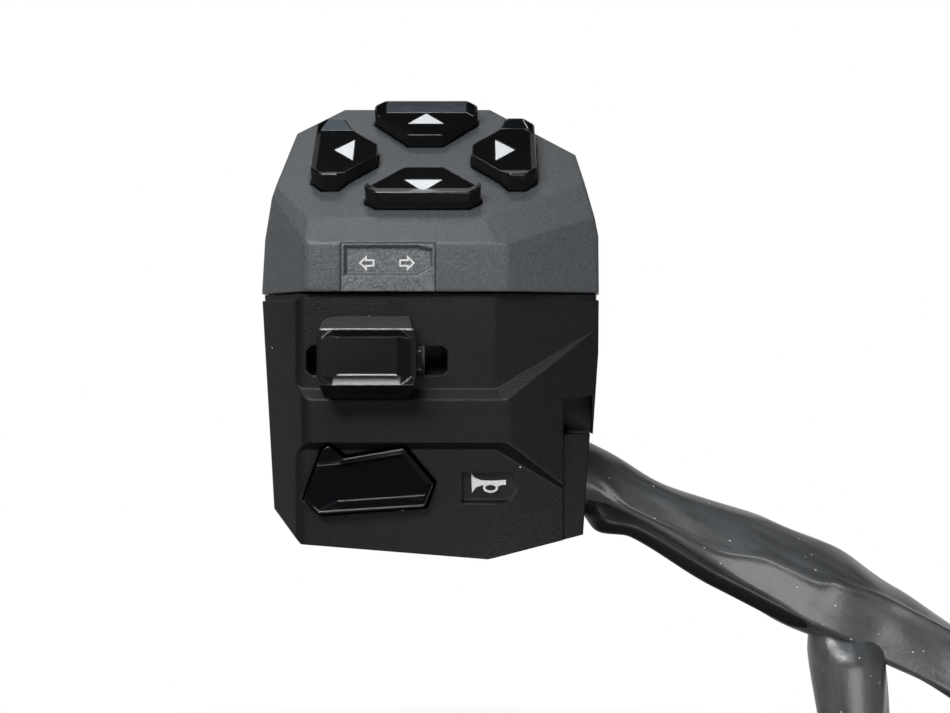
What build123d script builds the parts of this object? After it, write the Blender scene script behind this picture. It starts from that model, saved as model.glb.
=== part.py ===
"""Left-hand motorcycle handlebar switch cluster, in millimetres.

X runs along the handlebar towards the middle of the motorcycle, Y away from the rider and
Z up. The origin is the centre of the handlebar bore, midway along the housing.
"""

import math
import os

from build123d import *

os.makedirs("parts", exist_ok=True)

# Handlebar bore and the two halves of the housing
bar_radius = 11.1
saddle_wall = 2.6
wall = 2.4
case_half_length = 33.0
case_front = 31.0
case_back = 21.0
body_back = 12.0
parting_gap = 1.4
lip_inset = 0.5
lip_gap = 0.25
overrun = 5.0

# Plan outline: flat front between a steep left facet and a shallow right facet
front_left_x = -23.2
front_right_x = 14.9
left_facet_depth = 13.0
right_facet_depth = 7.0
right_corner_inset = 0.8
right_corner_depth = 15.0
front_corner_radius = 3.0
back_corner_radius = 7.0

# Side walls lean in by these angles, more steeply above the shoulder
side_lean_deg = 4.0
shoulder_lean_deg = 11.5
shoulder_z = 10.5

# Sloping button face of the upper half
band_height = 9.1
pad_setback = 4.0
pad_front_z = 14.1
pad_slope_deg = 41.0
pad_length = 38.3
top_left_x = -18.5
top_right_x = 11.7
top_corner_deg = 45.0
top_corner_run = 10.0
rear_corner_z = 5.0
shoulder_left_inset = 4.2
shoulder_left_rise = 8.4
facet_start_x = 10.5
facet_band_x = 12.3
facet_end_x = 24.1
facet_end_v = 8.2

# Lower half: depth, slopes of its underside and the ridge across its front
lower_depth = 50.3
keel_x = 11.0
left_keel_deg = 4.6
right_keel_deg = 12.5
left_cut_side_z = -38.6
left_cut_deg = 45.0
back_cut = 9.0
rear_ear_depth = 12.0
ridge_rise = 1.6
ridge_top_z = -20.3
ridge_top_drop = 2.0
ridge_low_z = -28.2
ridge_low_drop = 1.5
ridge_corner_x = 14.0
ridge_slope_deg = 36.0
inner_right_x = 12.5

# Screws that close the housing around the bar
screw_radius = 2.5
screw_clearance = 0.25
screw_head_radius = 4.25
screw_head_height = 2.8
screw_length = 20.0
screw_seat_z = -12.0
screw_offset_y = 15.6
front_screw_x = 22.0
rear_screw_x = -8.0
well_clearance = 0.65
boss_wall = 1.6
soft_share = 0.45
socket_share = 0.6
insert_cap = 1.0
insert_radius = 3.5
insert_length = 8.5
insert_seat = 0.8

# Front insert with the turn arrows, and the recess in it
icon_left_x = -16.4
icon_right_x = 1.1
icon_top_z = 8.9
icon_thickness = 2.2
icon_backing = 1.2
icon_recess_left_x = -15.9
icon_recess_right_x = 0.7
icon_recess_low_z = 2.9
icon_recess_top_z = 8.6
icon_recess_depth = 1.1
icon_wall_run = 0.5
icon_corner_x = 3.0
icon_top_corner_z = 0.7
icon_low_corner_z = 1.6
fit_gap = 0.1
arrow_width = 3.0
arrow_height = 3.0
arrow_line = 0.36
arrow_left_x = -13.2
arrow_right_x = -2.6
arrow_z = 5.3
arrow_shares = (
    (0.0, 0.0), (0.52, -0.5), (0.52, -0.23), (1.0, -0.23),
    (1.0, 0.23), (0.52, 0.23), (0.52, 0.5),
)
print_thickness = 0.15

# Four buttons around the middle of the button face: (across, outward) shares of their outlines
cross_x = -1.35
cross_drop = 0.25
button_rise = 2.8
rim_rise = 1.1
rim_flat = 0.35
button_gap = 0.25
button_travel = 1.0
button_corner_radius = 0.6
outer_corner_radius = 1.5
outer_corner_share = 3.5
button_fillet = 0.3
flange_width = 0.6
flange_thickness = 1.2
flange_gap = 0.05
flange_room = 0.2
up_half_width = 10.5
up_inner = 5.4
up_outer = 16.8
down_half_width = 11.1
down_inner = 5.9
down_outer = 16.2
side_half_width = 10.1
side_inner = 9.4
side_outer = 21.9
tall_shares = ((0.33, 0.0), (1.0, 0.7), (1.0, 0.83), (0.8, 1.0))
wide_shares = ((0.19, 0.0), (0.75, 0.44), (1.0, 0.57), (1.0, 0.83), (0.77, 1.0))
end_run = 2.5
corner_run = 1.9
edge_run = 0.5
triangle_half = 3.6
triangle_height = 3.8
up_triangle_start = 9.7
down_triangle_start = 10.4
side_triangle_start = 14.0
inlay_depth = 0.3

# Keypad behind the buttons, measured down from the button face
dome_radius = 2.7
dome_height = 2.5
dome_clearance = 0.6
dome_tall_place = 11.5
dome_side_place = 16.0
mat_top_depth = 6.4
mat_thickness = 1.0
mat_inset = 0.4
board_thickness = 1.6
board_half_width = 21.0
board_low_v = 2.6
board_high_margin = 3.7
board_low_left_cut = 3.0
board_low_right_cut = 6.5
board_high_right_cut = 9.0
board_high_left_cut = 5.0
board_screw_across = 13.0
board_screw_low_margin = 4.8
board_screw_high_margin = 4.2
board_boss_radius = 2.3
board_boss_clearance = 0.3
board_hole_clearance = 0.15
board_screw_radius = 1.1
board_screw_head_radius = 1.9
board_screw_head_height = 1.3
board_screw_length = 4.5
header_x = 5.0
header_v = 14.5
header_width = 12.0
header_depth = 5.0
header_height = 4.0

# Slot and thumb slide of the turn signals
slot_left_x = -23.1
slot_right_x = 3.4
slot_low_z = -15.7
slot_high_z = -10.2
slot_corner = 1.0
knob_x = -11.1
knob_z = -12.3
knob_half_width = 9.0
knob_half_height = 7.5
knob_shares = (
    (-1.0, -0.45), (-0.87, -1.0), (0.7, -1.0), (0.9, -0.88), (1.0, -0.45),
    (1.0, 0.42), (0.88, 1.0), (-0.6, 1.0), (-0.87, 0.93), (-1.0, 0.42),
)
knob_front = 39.7
knob_back = 32.4
knob_corner_radius = 0.8
knob_bevel_height = 2.4
knob_bevel_depth = 3.2
knob_dish_depth = 1.6
knob_dish_corner_x = 1.9
knob_dish_corner_z = 1.5
knob_corner_run = 1.3
knob_dish_half_width = 8.1
knob_dish_top = 4.9
knob_dish_low = 5.0
knob_side_run = 2.7
knob_top_run = 1.2
knob_low_run = 1.7
neck_left = 9.2
neck_right = 9.8
neck_half_height = 1.9
neck_back = 27.5
tongue_half_width = 4.0
tongue_top_z = -10.6
tongue_low_z = -13.6
tongue_end = 23.0
tongue_ramp = 1.4
running_gap = 0.08

# Carriage and base behind the slot
carriage_half_width = 10.1
carriage_front = 26.2
carriage_back = 21.3
carriage_top_z = -7.0
carriage_low_z = -18.0
carriage_corner = 2.4
bore_end = 21.7
base_front = 21.2
base_thickness = 2.0
base_left_x = -24.5
base_right_x = 9.0
base_top_z = -2.0
base_low_z = -23.0
rail_gap = 0.1
rail_left_x = -18.4
rail_right_x = 3.4
upper_rail_z = -2.9
lower_rail_z = -20.0
base_boss_radius = 2.4
base_screw_radius = 1.1
base_screw_head_radius = 2.1
base_screw_head_height = 1.4
base_screw_length = 6.0
base_screw_left_x = -21.5
base_screw_right_x = 6.5
base_screw_top_z = -4.4
base_screw_low_z = -20.9
strip_thickness = 0.5
strip_width = 2.4
strip_pitch = 4.4
strip_half_length = 4.2
bridge_offset = 5.6
bridge_width = 2.8
bridge_height = 10.0
bridge_thickness = 0.9
contact_gap = 0.05
leaf_y = -23.7
leaf_top_z = -4.4
leaf_low_z = -8.0
leaf_width = 3.0
leaf_thickness = 0.3
leaf_half_length = 4.8
leaf_half_top = 3.9
leaf_half_low = 1.0
leaf_room = 0.4
notch_half_low = 1.4
notch_half_top = 2.5
leaf_notch_low_z = -8.3
plunger_half_width = 1.5
plunger_back = 21.95
plunger_low_z = -14.9
cancel_wire = 0.3
cancel_radius = 0.95
cancel_turns = 4
cancel_seat_z = -17.5

# Horn button, its hinge and spring: (across, up) shares of its outline
horn_left_x = -23.3
horn_right_x = 0.9
horn_low_z = -41.6
horn_high_z = -28.8
horn_shares = (
    (0.13, 0.0), (0.93, 0.11), (1.0, 0.45), (0.77, 0.96), (0.31, 0.81),
    (0.19, 1.0), (0.14, 0.94), (0.0, 0.22),
)
horn_dish_shares = ((0.06, 0.0), (0.93, 0.11), (1.0, 0.45), (0.77, 0.96), (0.08, 0.74))
horn_gap = 0.5
horn_front = 31.9
horn_back = 25.8
horn_sink = 1.8
horn_corner_radius = 0.7
horn_dish_depth = 1.6
horn_wing_run = 4.2
horn_lip_run = 1.7
horn_edge_run = 0.4
hinge_y = -26.4
hinge_z = -26.6
hinge_pin_radius = 0.9
hinge_ear_radius = 1.8
hinge_ear_width = 2.5
hinge_ear_low_z = -31.8
hinge_left_x = -20.7
hinge_right_x = -3.2
hinge_lug_width = 1.5
hinge_side_gap = 0.25
hinge_room = 0.6
hinge_room_low_z = -30.4
arm_x = -11.5
arm_half_width = 2.5
arm_front = 25.2
arm_step = 22.8
arm_end = 13.2
arm_thickness = 2.4
arm_top_z = -25.0
arm_foot_low_z = -36.0
arm_foot_high_z = -31.2
bracket_left_x = -17.0
bracket_right_x = 3.8
bracket_front = 18.3
bracket_back = 9.5
bracket_top_z = -18.6
bracket_thickness = 2.0
bracket_screw_x = 0.8
bracket_screw_y = -12.5
bracket_boss_top_z = -9.0
horn_spring_y = -15.8
horn_spring_wire = 0.5
horn_spring_radius = 1.7
horn_spring_turns = 4
rivet_y = -20.2
rivet_radius = 1.0
rivet_height = 0.3
contact_width = 3.0
contact_thickness = 0.4
contact_front = 21.4
contact_low_z = -23.9
contact_high_z = -19.2

# Horn symbol and its recess: shares of the symbol's width and height
horn_icon_left_x = 6.2
horn_icon_right_x = 16.8
horn_icon_top_z = -33.9
horn_icon_low_z = -39.8
horn_icon_corner_x = 1.7
horn_icon_corner_z = 2.1
horn_icon_depth = 1.2
horn_icon_run = 0.6
symbol_left_x = 7.9
symbol_top_z = -34.2
symbol_width = 6.6
symbol_height = 3.7
trumpet_shares = (
    (0.0, 0.0), (0.09, -0.22), (0.28, -0.36), (0.6, -0.38), (0.99, -0.34), (0.99, -0.6),
    (0.85, -0.6), (0.8, -0.66), (0.3, -0.62), (0.13, -0.72), (0.02, -1.0),
)
coil_place_shares = (0.55, -0.74)
coil_half_width = 1.4
coil_half_height = 0.95
coil_line = 0.42

# Notch in the right facet, and the shallow relief from there down
notch_left_x = 25.4
notch_right_x = 31.0
notch_high_z = -19.7
notch_low_z = -27.0
notch_depth_y = -20.6
notch_wall = 1.5
relief_depth = 0.5

# Harness: where it leaves the housing, its sheath and what holds it
sheath_radius = 7.25
outlet_inset = 1.0
outlet_z = -37.4
outlet_drop_deg = 26.5
sheath_inside = 24.0
first_straight = 20.0
grommet_wall = 1.2
grommet_flange = 0.5
grommet_flange_place = 11.0
grommet_flange_thickness = 1.4
grommet_gap = 0.15
tie_place = 15.5
tie_width = 3.6
tie_wall = 1.1
tie_head = 4.0
cradle_half_width = 3.0
cradle_thickness = 2.0
cradle_gap = 0.2
loom_radius = 1.4
loom_first_run = 10.5
loom_x = 11.6
loom_y = -16.6
loom_high_z = -7.0
loom_low_z = -20.0
loom_end = 21.0
bend_share = 0.45

# Routes of the harness outside, in shares of harness_span from the outlet
harness_span = 100.0
main_route_shares = (
    (0.88, 0.03, -0.434), (1.14, 0.06, -0.736),
    (1.24, 0.09, -1.18), (1.23, 0.11, -1.55), (1.23, 0.11, -1.9),
)
branch_route_shares = (
    (0.528, 0.008, -0.263), (0.557, 0.012, -0.49), (0.57, 0.02, -0.81),
    (0.55, 0.03, -1.12), (0.55, 0.03, -1.41),
)
branch_radius = 6.6
tape_wall = 0.4
tape_length = 13.0
wire_radius = 0.95
wire_pitch = 2.6
main_wire_length = 24.0
branch_wire_length = 20.0
plug_width = 30.0
plug_depth = 17.0
plug_height = 30.0
small_plug_width = 16.0
small_plug_depth = 12.0
small_plug_height = 24.0
plug_corner_radius = 1.5
latch_width = 8.0
latch_thickness = 1.6
latch_height_share = 0.6

# Worked-out places
cross_v = pad_length / 2 - cross_drop
board_high_v = pad_length - board_high_margin
lower_front = case_front - ridge_rise
saddle_radius = bar_radius + saddle_wall
pad_plane = Plane(
    origin=(0, pad_setback - case_front, pad_front_z),
    x_dir=(1, 0, 0),
    z_dir=(0, -math.sin(math.radians(pad_slope_deg)), math.cos(math.radians(pad_slope_deg))),
)
up_slope = Vector(0, math.cos(math.radians(pad_slope_deg)), math.sin(math.radians(pad_slope_deg)))
top_edge = Vector(0, pad_setback - case_front, pad_front_z) + up_slope * pad_length
outlet_direction = Vector(
    math.cos(math.radians(outlet_drop_deg)), 0, -math.sin(math.radians(outlet_drop_deg))
)
outlet = Vector(case_half_length - outlet_inset, 0, outlet_z)
front_plane = Plane(origin=(0, 0, 0), x_dir=(1, 0, 0), z_dir=(0, -1, 0))


def save(node, label):
    """Label a finished piece and write its STEP file."""
    node.part.label = label
    export_step(node.part, f"parts/{label}.step")


def leaning(point, azimuth_deg, lean_deg):
    """Plane through point whose normal points to azimuth, tilted up by lean."""
    azimuth = math.radians(azimuth_deg)
    lean = math.radians(lean_deg)
    normal = (
        math.cos(azimuth) * math.cos(lean),
        math.sin(azimuth) * math.cos(lean),
        math.sin(lean),
    )
    return Plane(origin=point, z_dir=normal)


def plan_points():
    """Corners of the outer plan outline, from the front left corner round to the right."""
    return [
        (front_left_x, -case_front),
        (front_right_x, -case_front),
        (case_half_length - right_corner_inset, right_facet_depth - case_front),
        (case_half_length, right_corner_depth - case_front),
        (case_half_length, case_back),
        (-case_half_length, case_back),
        (-case_half_length, left_facet_depth - case_front),
    ]


def low_plan_points():
    """Corners of the plan outline behind the ridge, which meets the outer one at its sides."""
    facet_slope = (case_half_length + front_left_x) / left_facet_depth
    return [
        (front_left_x - ridge_rise * facet_slope, -lower_front),
        (inner_right_x, -lower_front),
        (case_half_length - right_corner_inset, right_facet_depth - case_front),
        (case_half_length, right_corner_depth - case_front),
        (case_half_length, case_back),
        (-case_half_length, case_back),
        (-case_half_length, left_facet_depth - case_front),
    ]


def side_planes(inset, lean_deg, height=0, half_length=case_half_length):
    """Planes of the two leaning side walls, moved in by inset."""
    return [
        leaning((half_length, 0, height), 0, lean_deg).offset(-inset),
        leaning((-half_length, 0, height), 180, lean_deg).offset(-inset),
    ]


def pad_point(along, up, out=0):
    """Point given by its place across and up the button face, and its height over it."""
    return pad_plane.from_local_coords(Vector(along, up, out))


def three_point_plane(first, second, third):
    """Plane through three points, with its normal upwards."""
    normal = (second - first).cross(third - first).normalized()
    if normal.Z < 0:
        normal = normal * -1
    return Plane(origin=first, z_dir=normal)


def upper_planes(inset):
    """Every plane that bounds the upper half above its vertical walls."""
    band_edge = Vector(0, -case_front, band_height)
    pad_edge = pad_point(0, 0)
    bevel = three_point_plane(band_edge, pad_edge, band_edge + Vector(1, 0, 0))
    drop = top_corner_run * math.tan(math.radians(top_corner_deg))
    left_corner = three_point_plane(
        pad_point(top_left_x, pad_length),
        pad_point(top_left_x - top_corner_run, pad_length - drop),
        Vector(-case_half_length, case_back, rear_corner_z),
    )
    right_corner = three_point_plane(
        pad_point(top_right_x, pad_length),
        pad_point(top_right_x + top_corner_run, pad_length - drop),
        Vector(case_half_length, case_back, rear_corner_z),
    )
    left_shoulder = three_point_plane(
        pad_point(front_left_x + shoulder_left_inset - pad_setback, 0),
        pad_point(-case_half_length + shoulder_left_inset, shoulder_left_rise),
        Vector(front_left_x, -case_front, band_height),
    )
    right_facet = three_point_plane(
        pad_point(facet_start_x, 0),
        pad_point(facet_end_x, facet_end_v),
        Vector(facet_band_x, -case_front, band_height),
    )
    planes = [
        pad_plane,
        bevel,
        Plane(origin=top_edge, z_dir=up_slope),
        left_corner,
        right_corner,
        left_shoulder,
        right_facet,
    ]
    shoulder_half = case_half_length - shoulder_z * math.tan(math.radians(side_lean_deg))
    sides = side_planes(inset, shoulder_lean_deg, shoulder_z, shoulder_half)
    return [plane.offset(-inset) for plane in planes] + sides


def bounded(solid, planes):
    """The part of a solid that lies under every plane."""
    for plane in planes:
        solid = split(solid, bisect_by=plane, keep=Keep.BOTTOM, mode=Mode.PRIVATE)
    return solid


def plan_prism(points, inset, low, high, lean_deg=-side_lean_deg):
    """Prism over a plan outline, with its corners rounded and its walls moved in by inset."""
    with BuildPart(mode=Mode.PRIVATE) as prism:
        with BuildSketch(Plane.XY.offset(low)):
            with BuildLine():
                Polyline(*points, close=True)
            make_face()
            offset(amount=-inset, kind=Kind.INTERSECTION)
        extrude(amount=high - low)
        posts = prism.edges().filter_by(Axis.Z)
        fillet(posts.filter_by(lambda e: e.center().Y > 0), radius=back_corner_radius - inset)
        if inset == 0:
            posts = prism.edges().filter_by(Axis.Z).filter_by(GeomType.LINE)
            front = posts.group_by(Axis.Y)[0]
            fillet(front, radius=front_corner_radius)
    return bounded(prism.part, side_planes(inset, lean_deg))


def upper_body(inset):
    """Outer form of the upper half, or its hollow when inset by the wall."""
    low = -overrun if inset else 0
    blank = plan_prism(plan_points(), inset, low, top_edge.Z + overrun, side_lean_deg)
    return bounded(blank, upper_planes(inset))


def lower_planes(inset):
    """Sloping planes of the underside: two either side of the keel, the left corner, the rear."""
    keel = Vector(keel_x, 0, -lower_depth)
    left_corner = Vector(-case_half_length, 0, left_cut_side_z)
    rear_corner = Vector(0, body_back, back_cut - lower_depth)
    return [
        leaning(keel, 180, left_keel_deg - 90).offset(-inset),
        leaning(keel, 0, right_keel_deg - 90).offset(-inset),
        leaning(left_corner, 180, -left_cut_deg).offset(-inset),
        leaning(rear_corner, 90, -left_cut_deg).offset(-inset),
    ]


def lower_blank(points, inset, high):
    """Body of the lower half under a plan outline, with the rear cut forward below the ear."""
    blank = bounded(
        plan_prism(points, inset, -lower_depth - overrun, high), lower_planes(inset)
    )
    with BuildPart(mode=Mode.PRIVATE) as body:
        add(blank)
        with BuildSketch(Plane.XY.offset(-rear_ear_depth + inset)):
            with Locations((0, body_back - inset)):
                Rectangle(
                    2 * case_half_length + overrun,
                    case_back,
                    align=(Align.CENTER, Align.MIN),
                )
        extrude(amount=-lower_depth, mode=Mode.SUBTRACT)
    return body.part


def panel_cutter(planes):
    """Space in front of the set-back surfaces, over the side of every plane given."""
    reach = case_half_length + overrun
    space = block(-reach, reach, -2 * case_front, 0, -lower_depth - overrun, overrun)
    for plane in planes:
        space = split(space, bisect_by=plane, keep=Keep.TOP, mode=Mode.PRIVATE)
    return space - plan_prism(low_plan_points(), 0, -lower_depth - 2 * overrun, overrun)


def ridge_cutters():
    """The two spaces that leave the ridge standing: above it, and below it on the horn panel."""
    slope = math.radians(ridge_slope_deg)
    run = Vector(1, 0, 0)
    top_out = Vector(0, -case_front, ridge_top_z)
    top_in = Vector(0, -lower_front, ridge_top_z + ridge_top_drop)
    low_out = Vector(0, -case_front, ridge_low_z)
    low_in = Vector(0, -lower_front, ridge_low_z - ridge_low_drop)
    above = three_point_plane(top_out, top_in, top_out + run)
    below = three_point_plane(low_out, low_in, low_out + run)
    below = Plane(origin=below.origin, z_dir=below.z_dir * -1)
    corner_out = Vector(ridge_corner_x, -case_front, ridge_top_z)
    corner_in = Vector(inner_right_x, -lower_front, ridge_top_z + ridge_top_drop)
    fade = Vector(case_half_length, right_facet_depth - case_front, 0)
    fade = Vector(fade.X, fade.Y, ridge_top_z + (fade.X - ridge_corner_x) * math.tan(slope))
    upper_diagonal = three_point_plane(corner_out, corner_in, fade)
    falling_out = Vector(ridge_corner_x, -case_front, ridge_low_z)
    falling_in = Vector(inner_right_x, -lower_front, ridge_low_z - ridge_low_drop)
    low_fade = Vector(
        fade.X, fade.Y, ridge_low_z - (fade.X - ridge_corner_x) * math.tan(slope)
    )
    lower_diagonal = three_point_plane(falling_out, falling_in, low_fade)
    lower_diagonal = Plane(origin=lower_diagonal.origin, z_dir=lower_diagonal.z_dir * -1)
    return [
        panel_cutter([above, upper_diagonal]),
        panel_cutter([below, lower_diagonal]),
    ]


def placed(solid, plane):
    """A piece built in local coordinates, moved into the frame of a plane."""
    return solid.moved(plane.location)


def prism(points, low, high, grow=0):
    """Prism over an outline between two heights, its outline grown by a margin."""
    with BuildPart(mode=Mode.PRIVATE) as body:
        with BuildSketch(Plane.XY.offset(low)):
            with BuildLine():
                Polyline(*points, close=True)
            make_face()
            if grow:
                offset(amount=grow, kind=Kind.INTERSECTION)
        extrude(amount=high - low)
    return body.part


def block(x_low, x_high, y_low, y_high, z_low, z_high):
    """Box given by its six faces."""
    corner = (x_low, y_low, z_low)
    with BuildPart(mode=Mode.PRIVATE) as body:
        with Locations(corner):
            Box(
                x_high - x_low,
                y_high - y_low,
                z_high - z_low,
                align=(Align.MIN, Align.MIN, Align.MIN),
            )
    return body.part


def rod(base, direction, radius, length):
    """Round bar from a base point along a direction."""
    with BuildPart(mode=Mode.PRIVATE) as body:
        with BuildSketch(Plane(origin=base, z_dir=direction)):
            Circle(radius)
        extrude(amount=length)
    return body.part


def tube(base, direction, outer, inner, length):
    """Round sleeve from a base point along a direction."""
    return rod(base, direction, outer, length) - rod(base, direction, inner, length)


def dish_space(points, runs, floor, rise, rim=rim_flat):
    """Space over a dish that is level at floor and rises towards the edges that have a run."""
    reach = 4 * case_half_length
    space = block(-reach, reach, -reach, reach, floor, floor + rise + overrun)
    for index, run in enumerate(runs):
        if not run:
            continue
        start = Vector(*points[index])
        end = Vector(*points[(index + 1) % len(points)])
        inward = Vector(start.Y - end.Y, end.X - start.X).normalized()
        low = start + inward * (rim + run) + Vector(0, 0, floor)
        high = start + inward * rim + Vector(0, 0, floor + rise)
        slope = three_point_plane(low, low + end - start, high)
        space = split(space, bisect_by=slope, keep=Keep.TOP, mode=Mode.PRIVATE)
    return space


def spread(shares, left, width, low, height):
    """Outline points from their shares of a width and a height."""
    return [(left + across * width, low + up * height) for across, up in shares]


def cap_screw(radius, length, head_radius, head_height):
    """Screw with a hexagonal socket, its shank upwards from the seat at the origin."""
    with BuildPart(mode=Mode.PRIVATE) as screw:
        with BuildSketch(Plane.XY):
            Circle(radius)
        extrude(amount=length)
        with BuildSketch(Plane.XY):
            Circle(head_radius)
        extrude(amount=-head_height)
        fillet(screw.faces().sort_by(Axis.Z)[0].edges(), radius=head_height * soft_share)
        with BuildSketch(Plane.XY.offset(-head_height)):
            RegularPolygon(head_radius * socket_share, side_count=6)
        extrude(amount=head_height * socket_share, mode=Mode.SUBTRACT)
    return screw.part


def coil(base, radius, wire, turns, length):
    """Vertical coil spring standing on its base point."""
    height = length - wire
    with BuildPart(mode=Mode.PRIVATE) as spring:
        with BuildLine(Plane(origin=base + Vector(0, 0, wire / 2))) as path:
            Helix(pitch=height / turns, height=height, radius=radius)
        with BuildSketch(Plane(origin=path.line @ 0, z_dir=path.line % 0)):
            Circle(wire / 2)
        sweep(path=path.line, is_frenet=True)
    return spring.part


# Outer form and hollow of both halves
upper_outer = upper_body(0)
upper_hollow = upper_body(wall)
lower_outer = lower_blank(plan_points(), 0, -parting_gap)
lower_outer = lower_outer + plan_prism(plan_points(), lip_inset, -parting_gap, -lip_gap)
lower_hollow = lower_blank(low_plan_points(), wall, overrun)
for cutter in ridge_cutters():
    lower_outer = lower_outer - cutter
bar_reach = case_half_length + overrun
bar_bore = rod((-bar_reach, 0, 0), (1, 0, 0), bar_radius, 2 * bar_reach)
saddle = rod((-bar_reach, 0, 0), (1, 0, 0), saddle_radius, 2 * bar_reach)
screw_places = [(front_screw_x, -screw_offset_y), (rear_screw_x, screw_offset_y)]

# Frames of the four buttons, each with Y pointing away from the middle of the cross
cross = pad_point(cross_x, cross_v)
up_frame = Plane(origin=cross, x_dir=(1, 0, 0), z_dir=pad_plane.z_dir)
down_frame = Plane(origin=cross, x_dir=(-1, 0, 0), z_dir=pad_plane.z_dir)
left_frame = Plane(origin=cross, x_dir=up_slope, z_dir=pad_plane.z_dir)
right_frame = Plane(origin=cross, x_dir=up_slope * -1, z_dir=pad_plane.z_dir)


def button_outline(half_width, inner, outer, shares):
    """Outline of a button in its own frame, from the inner edge round to the outer one."""
    right = [(half_width * across, inner + (outer - inner) * out) for across, out in shares]
    return right + [(-across, out) for across, out in reversed(right)]


def button_form(points, runs, triangle):
    """Button with a dished top, raised outer edges, a flange and a recess for its arrow."""
    top = button_rise + rim_rise
    foot = -wall - flange_gap - flange_thickness
    dish = dish_space(points, runs, button_rise, rim_rise)
    heights = [up for across, up in points]
    middle = (min(heights) + max(heights) * outer_corner_share) / (1 + outer_corner_share)
    with BuildPart(mode=Mode.PRIVATE) as body:
        with BuildSketch(Plane.XY.offset(foot)):
            with BuildLine():
                Polyline(*points, close=True)
            make_face()
        extrude(amount=top - foot)
        posts = body.edges().filter_by(Axis.Z)
        fillet(posts.filter_by(lambda e: e.center().Y < middle), radius=button_corner_radius)
        posts = body.edges().filter_by(Axis.Z)
        fillet(posts.filter_by(lambda e: e.center().Y > middle), radius=outer_corner_radius)
        fillet(body.faces().sort_by(Axis.Z)[-1].edges(), radius=button_fillet)
        add(prism(points, foot, foot + flange_thickness, flange_width))
        add(dish, mode=Mode.SUBTRACT)
        add(prism(triangle, button_rise - inlay_depth, top), mode=Mode.SUBTRACT)
    return body.part


def triangle_points(start, height=triangle_height):
    """Arrow that points away from the middle of the cross."""
    return [(-triangle_half, start), (triangle_half, start), (0, start + height)]


def dome_form(place):
    """Silicone dome under a button, at a distance from the middle of the cross."""
    foot = -wall - flange_gap - flange_thickness
    return rod((0, place, foot), (0, 0, -1), dome_radius, dome_height)


up_points = button_outline(up_half_width, up_inner, up_outer, tall_shares)
down_points = button_outline(down_half_width, down_inner, down_outer, tall_shares)
side_points = button_outline(side_half_width, side_inner, side_outer, wide_shares)
tall_runs = (0, edge_run, corner_run, end_run, corner_run, edge_run, 0, 0)
side_runs = (0, 0, end_run, edge_run, edge_run, edge_run, corner_run, 0, 0, 0)
up_triangle = triangle_points(up_triangle_start)
down_triangle = triangle_points(down_triangle_start)
side_triangle = triangle_points(side_triangle_start)
button_table = [
    (up_frame, up_points),
    (down_frame, down_points),
    (left_frame, side_points),
    (right_frame, side_points),
]

# Upper half of the housing
board_bottom = -mat_top_depth - mat_thickness - board_thickness
board_left_x = cross_x - board_half_width
board_right_x = cross_x + board_half_width
board_screw_places = [
    (cross_x + side * board_screw_across, along)
    for side in (-1, 1)
    for along in (board_low_v + board_screw_low_margin, board_high_v - board_screw_high_margin)
]
upper_inside = saddle & upper_outer
for x, y in screw_places:
    boss_height = insert_seat + insert_length + insert_cap
    upper_inside = upper_inside + rod((x, y, 0), (0, 0, 1), insert_radius + boss_wall, boss_height)
for u, v in board_screw_places:
    boss = rod(
        (u, v, board_bottom + board_thickness),
        (0, 0, 1),
        board_boss_radius,
        -board_bottom - board_thickness - wall / 2,
    )
    upper_inside = upper_inside + placed(boss, pad_plane)
upper_inside = upper_inside + block(
    icon_left_x - icon_backing,
    icon_right_x + icon_backing,
    icon_thickness - case_front,
    icon_thickness + icon_backing - case_front,
    0,
    icon_top_z + fit_gap + icon_backing,
)
upper_inside = upper_inside & upper_outer
icon_pocket = block(
    icon_left_x - fit_gap,
    icon_right_x + fit_gap,
    -case_front - overrun,
    icon_thickness - case_front,
    -overrun,
    icon_top_z + fit_gap,
)
with BuildPart() as upper_case:
    add(upper_outer - upper_hollow)
    add(upper_inside)
    add(bar_bore, mode=Mode.SUBTRACT)
    add(icon_pocket, mode=Mode.SUBTRACT)
    for frame, points in button_table:
        hole = prism(points, -wall - overrun / 2, overrun, button_gap)
        add(placed(hole, frame), mode=Mode.SUBTRACT)
        flange_foot = wall + flange_gap + flange_thickness + button_travel + flange_room
        room = prism(points, -flange_foot, -wall, flange_width + flange_room)
        add(placed(room, frame), mode=Mode.SUBTRACT)
    for x, y in screw_places:
        seat = rod((x, y, 0), (0, 0, 1), insert_radius, insert_seat + insert_length)
        add(seat, mode=Mode.SUBTRACT)
    for u, v in board_screw_places:
        pilot = rod((u, v, board_bottom), (0, 0, 1), board_screw_radius, board_screw_length)
        add(placed(pilot, pad_plane), mode=Mode.SUBTRACT)
save(upper_case, "upper_case")

with BuildPart() as case_inserts:
    for x, y in screw_places:
        add(tube((x, y, insert_seat), (0, 0, 1), insert_radius, screw_radius, insert_length))
save(case_inserts, "case_inserts")

with BuildPart() as case_screws:
    for x, y in screw_places:
        screw = cap_screw(screw_radius, screw_length, screw_head_radius, screw_head_height)
        add(screw.moved(Location((x, y, screw_seat_z))))
save(case_screws, "case_screws")

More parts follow.
